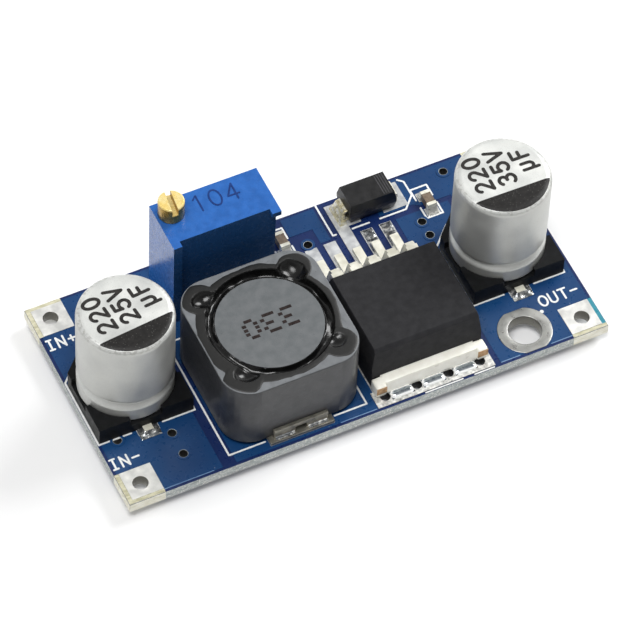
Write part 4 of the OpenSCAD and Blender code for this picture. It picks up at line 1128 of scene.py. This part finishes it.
def clip_bends():
    """Bright solder in the bend between each clip's foot and its upright tab."""
    shield_low, shield_high = box("inductor_shield")
    mesh = bmesh.new()
    # Thickness of a clip, radius of the solder, where it starts and ends from the middle, and its steps
    sheet, radius, inner, outer, steps = 0.3, 0.22, 0.62, 2.3, 8
    sides = (("inductor_clip_front", shield_low.y, -1), ("inductor_clip_back", shield_high.y, 1))
    for node, wall, s in sides:
        y0, z0 = wall + s * sheet, LAND + sheet
        curve = arc((y0 + s * radius, z0 + radius), (s * radius, radius), 270, 180, steps)
        profile = [(y0 - s * FILM, z0 - FILM)] + curve
        x = middle(node).x
        for x_from, x_to in ((x - outer, x - inner), (x + inner, x + outer)):
            ends = [[mesh.verts.new((x_end, y, z)) for y, z in profile] for x_end in (x_from, x_to)]
            mesh.faces.new(ends[0])
            mesh.faces.new(ends[1][::-1])
            band(mesh, *ends)
    piece("clip_bends", mesh, "solder")


# The lamps: places in metres, and the power and width of each
LAMPS = {"key": (0.42, 0.12, 0.4), "overhead": (-0.12, -0.1, 0.55)}
LAMP_POWER = 2.2
LAMP_WIDTH = 0.3


def stage():
    """A white floor that keeps the shadow, soft lamps and a white surround."""
    # The floor: half its length in metres, its gap below the part in millimetres, and its glow
    half, gap, glow = 1.5, 0.02, 0.1
    floor_z = cad_box[0][2] - gap * MM
    mesh = bpy.data.meshes.new("floor")
    square = rectangle((-half, -half), (half, half))
    mesh.from_pydata([(x, y, floor_z) for x, y in square], [], [(0, 1, 2, 3)])
    look = Look("floor")
    look.colour("E6E6E6")
    look.set("Roughness", 0.9)
    lit = look.node("LightPath").outputs
    seen = look.most(look.most(lit["Is Camera Ray"], lit["Is Glossy Ray"]), lit["Is Transmission Ray"])
    look.set("Emission Color", (1, 1, 1, 1))
    look.set("Emission Strength", look.times(seen, glow))
    mesh.materials.append(LOOKS["floor"])
    floor = add_object("floor", mesh)
    for name, spot in LAMPS.items():
        data = bpy.data.lights.new(name, "AREA")
        data.energy, data.size, data.shape = LAMP_POWER, LAMP_WIDTH, "DISK"
        made = add_object(name, data)
        made.location = spot
        made.rotation_euler = (-Vector(spot)).to_track_quat("-Z", "Y").to_euler()
    world = bpy.data.worlds.new("surround")
    world.use_nodes = True
    sky = Graph(world.node_tree)
    way, smooth = sky.node("TexCoord").outputs["Generated"], {"interpolation_type": "SMOOTHSTEP"}
    height = sky.level(sky.axis(way, 2), (0, SKY_TURN), (SKY_LOW, SKY_HIGH), **smooth)
    front = sky.level(sky.axis(way, 1), SKY_SIDES, (SKY_FRONT, 1), **smooth)
    surround = world.node_tree.nodes["Background"].inputs
    sky.put(surround["Strength"], sky.times(height, front))
    sky.put(surround["Color"], (1, 1, 1, 1))
    bpy.context.scene.world = world


def place_camera():
    """A camera that sees the part as the photograph does."""
    azimuth, elevation, roll = (radians(a) for a in (VIEW_AZIMUTH, VIEW_ELEVATION, VIEW_ROLL))
    turn = Matrix.Rotation(azimuth, 4, "Z") @ Matrix.Rotation(pi / 2 - elevation, 4, "X")
    turn = turn @ Matrix.Rotation(roll, 4, "Z")
    back = Matrix.Translation((0, 0, VIEW_DISTANCE * MM))
    data = bpy.data.cameras.new("view")
    data.sensor_width, data.lens, data.clip_start = SENSOR, LENS, NEAR
    made = add_object("view", data)
    made.matrix_world = Matrix.Translation(Vector(VIEW_TARGET) * MM) @ turn @ back
    bpy.context.scene.camera = made


dress_solids()
solder_joints()
tab_solder()
cap_print("input_cap", (("220", -2.0), ("25V", 0.05), ("uF", 2.0)), 5.4)
cap_print("output_cap", (("220", -2.0), ("35V", 0.05), ("uF", 2.0)), -1.0)
resin()
inductor_mark("330")
trimmer_value("104")
diode_band()
clip_bends()
bare_corners()
pours()
board_print()
stage()
place_camera()
bpy.context.scene.view_settings.view_transform = "Standard"
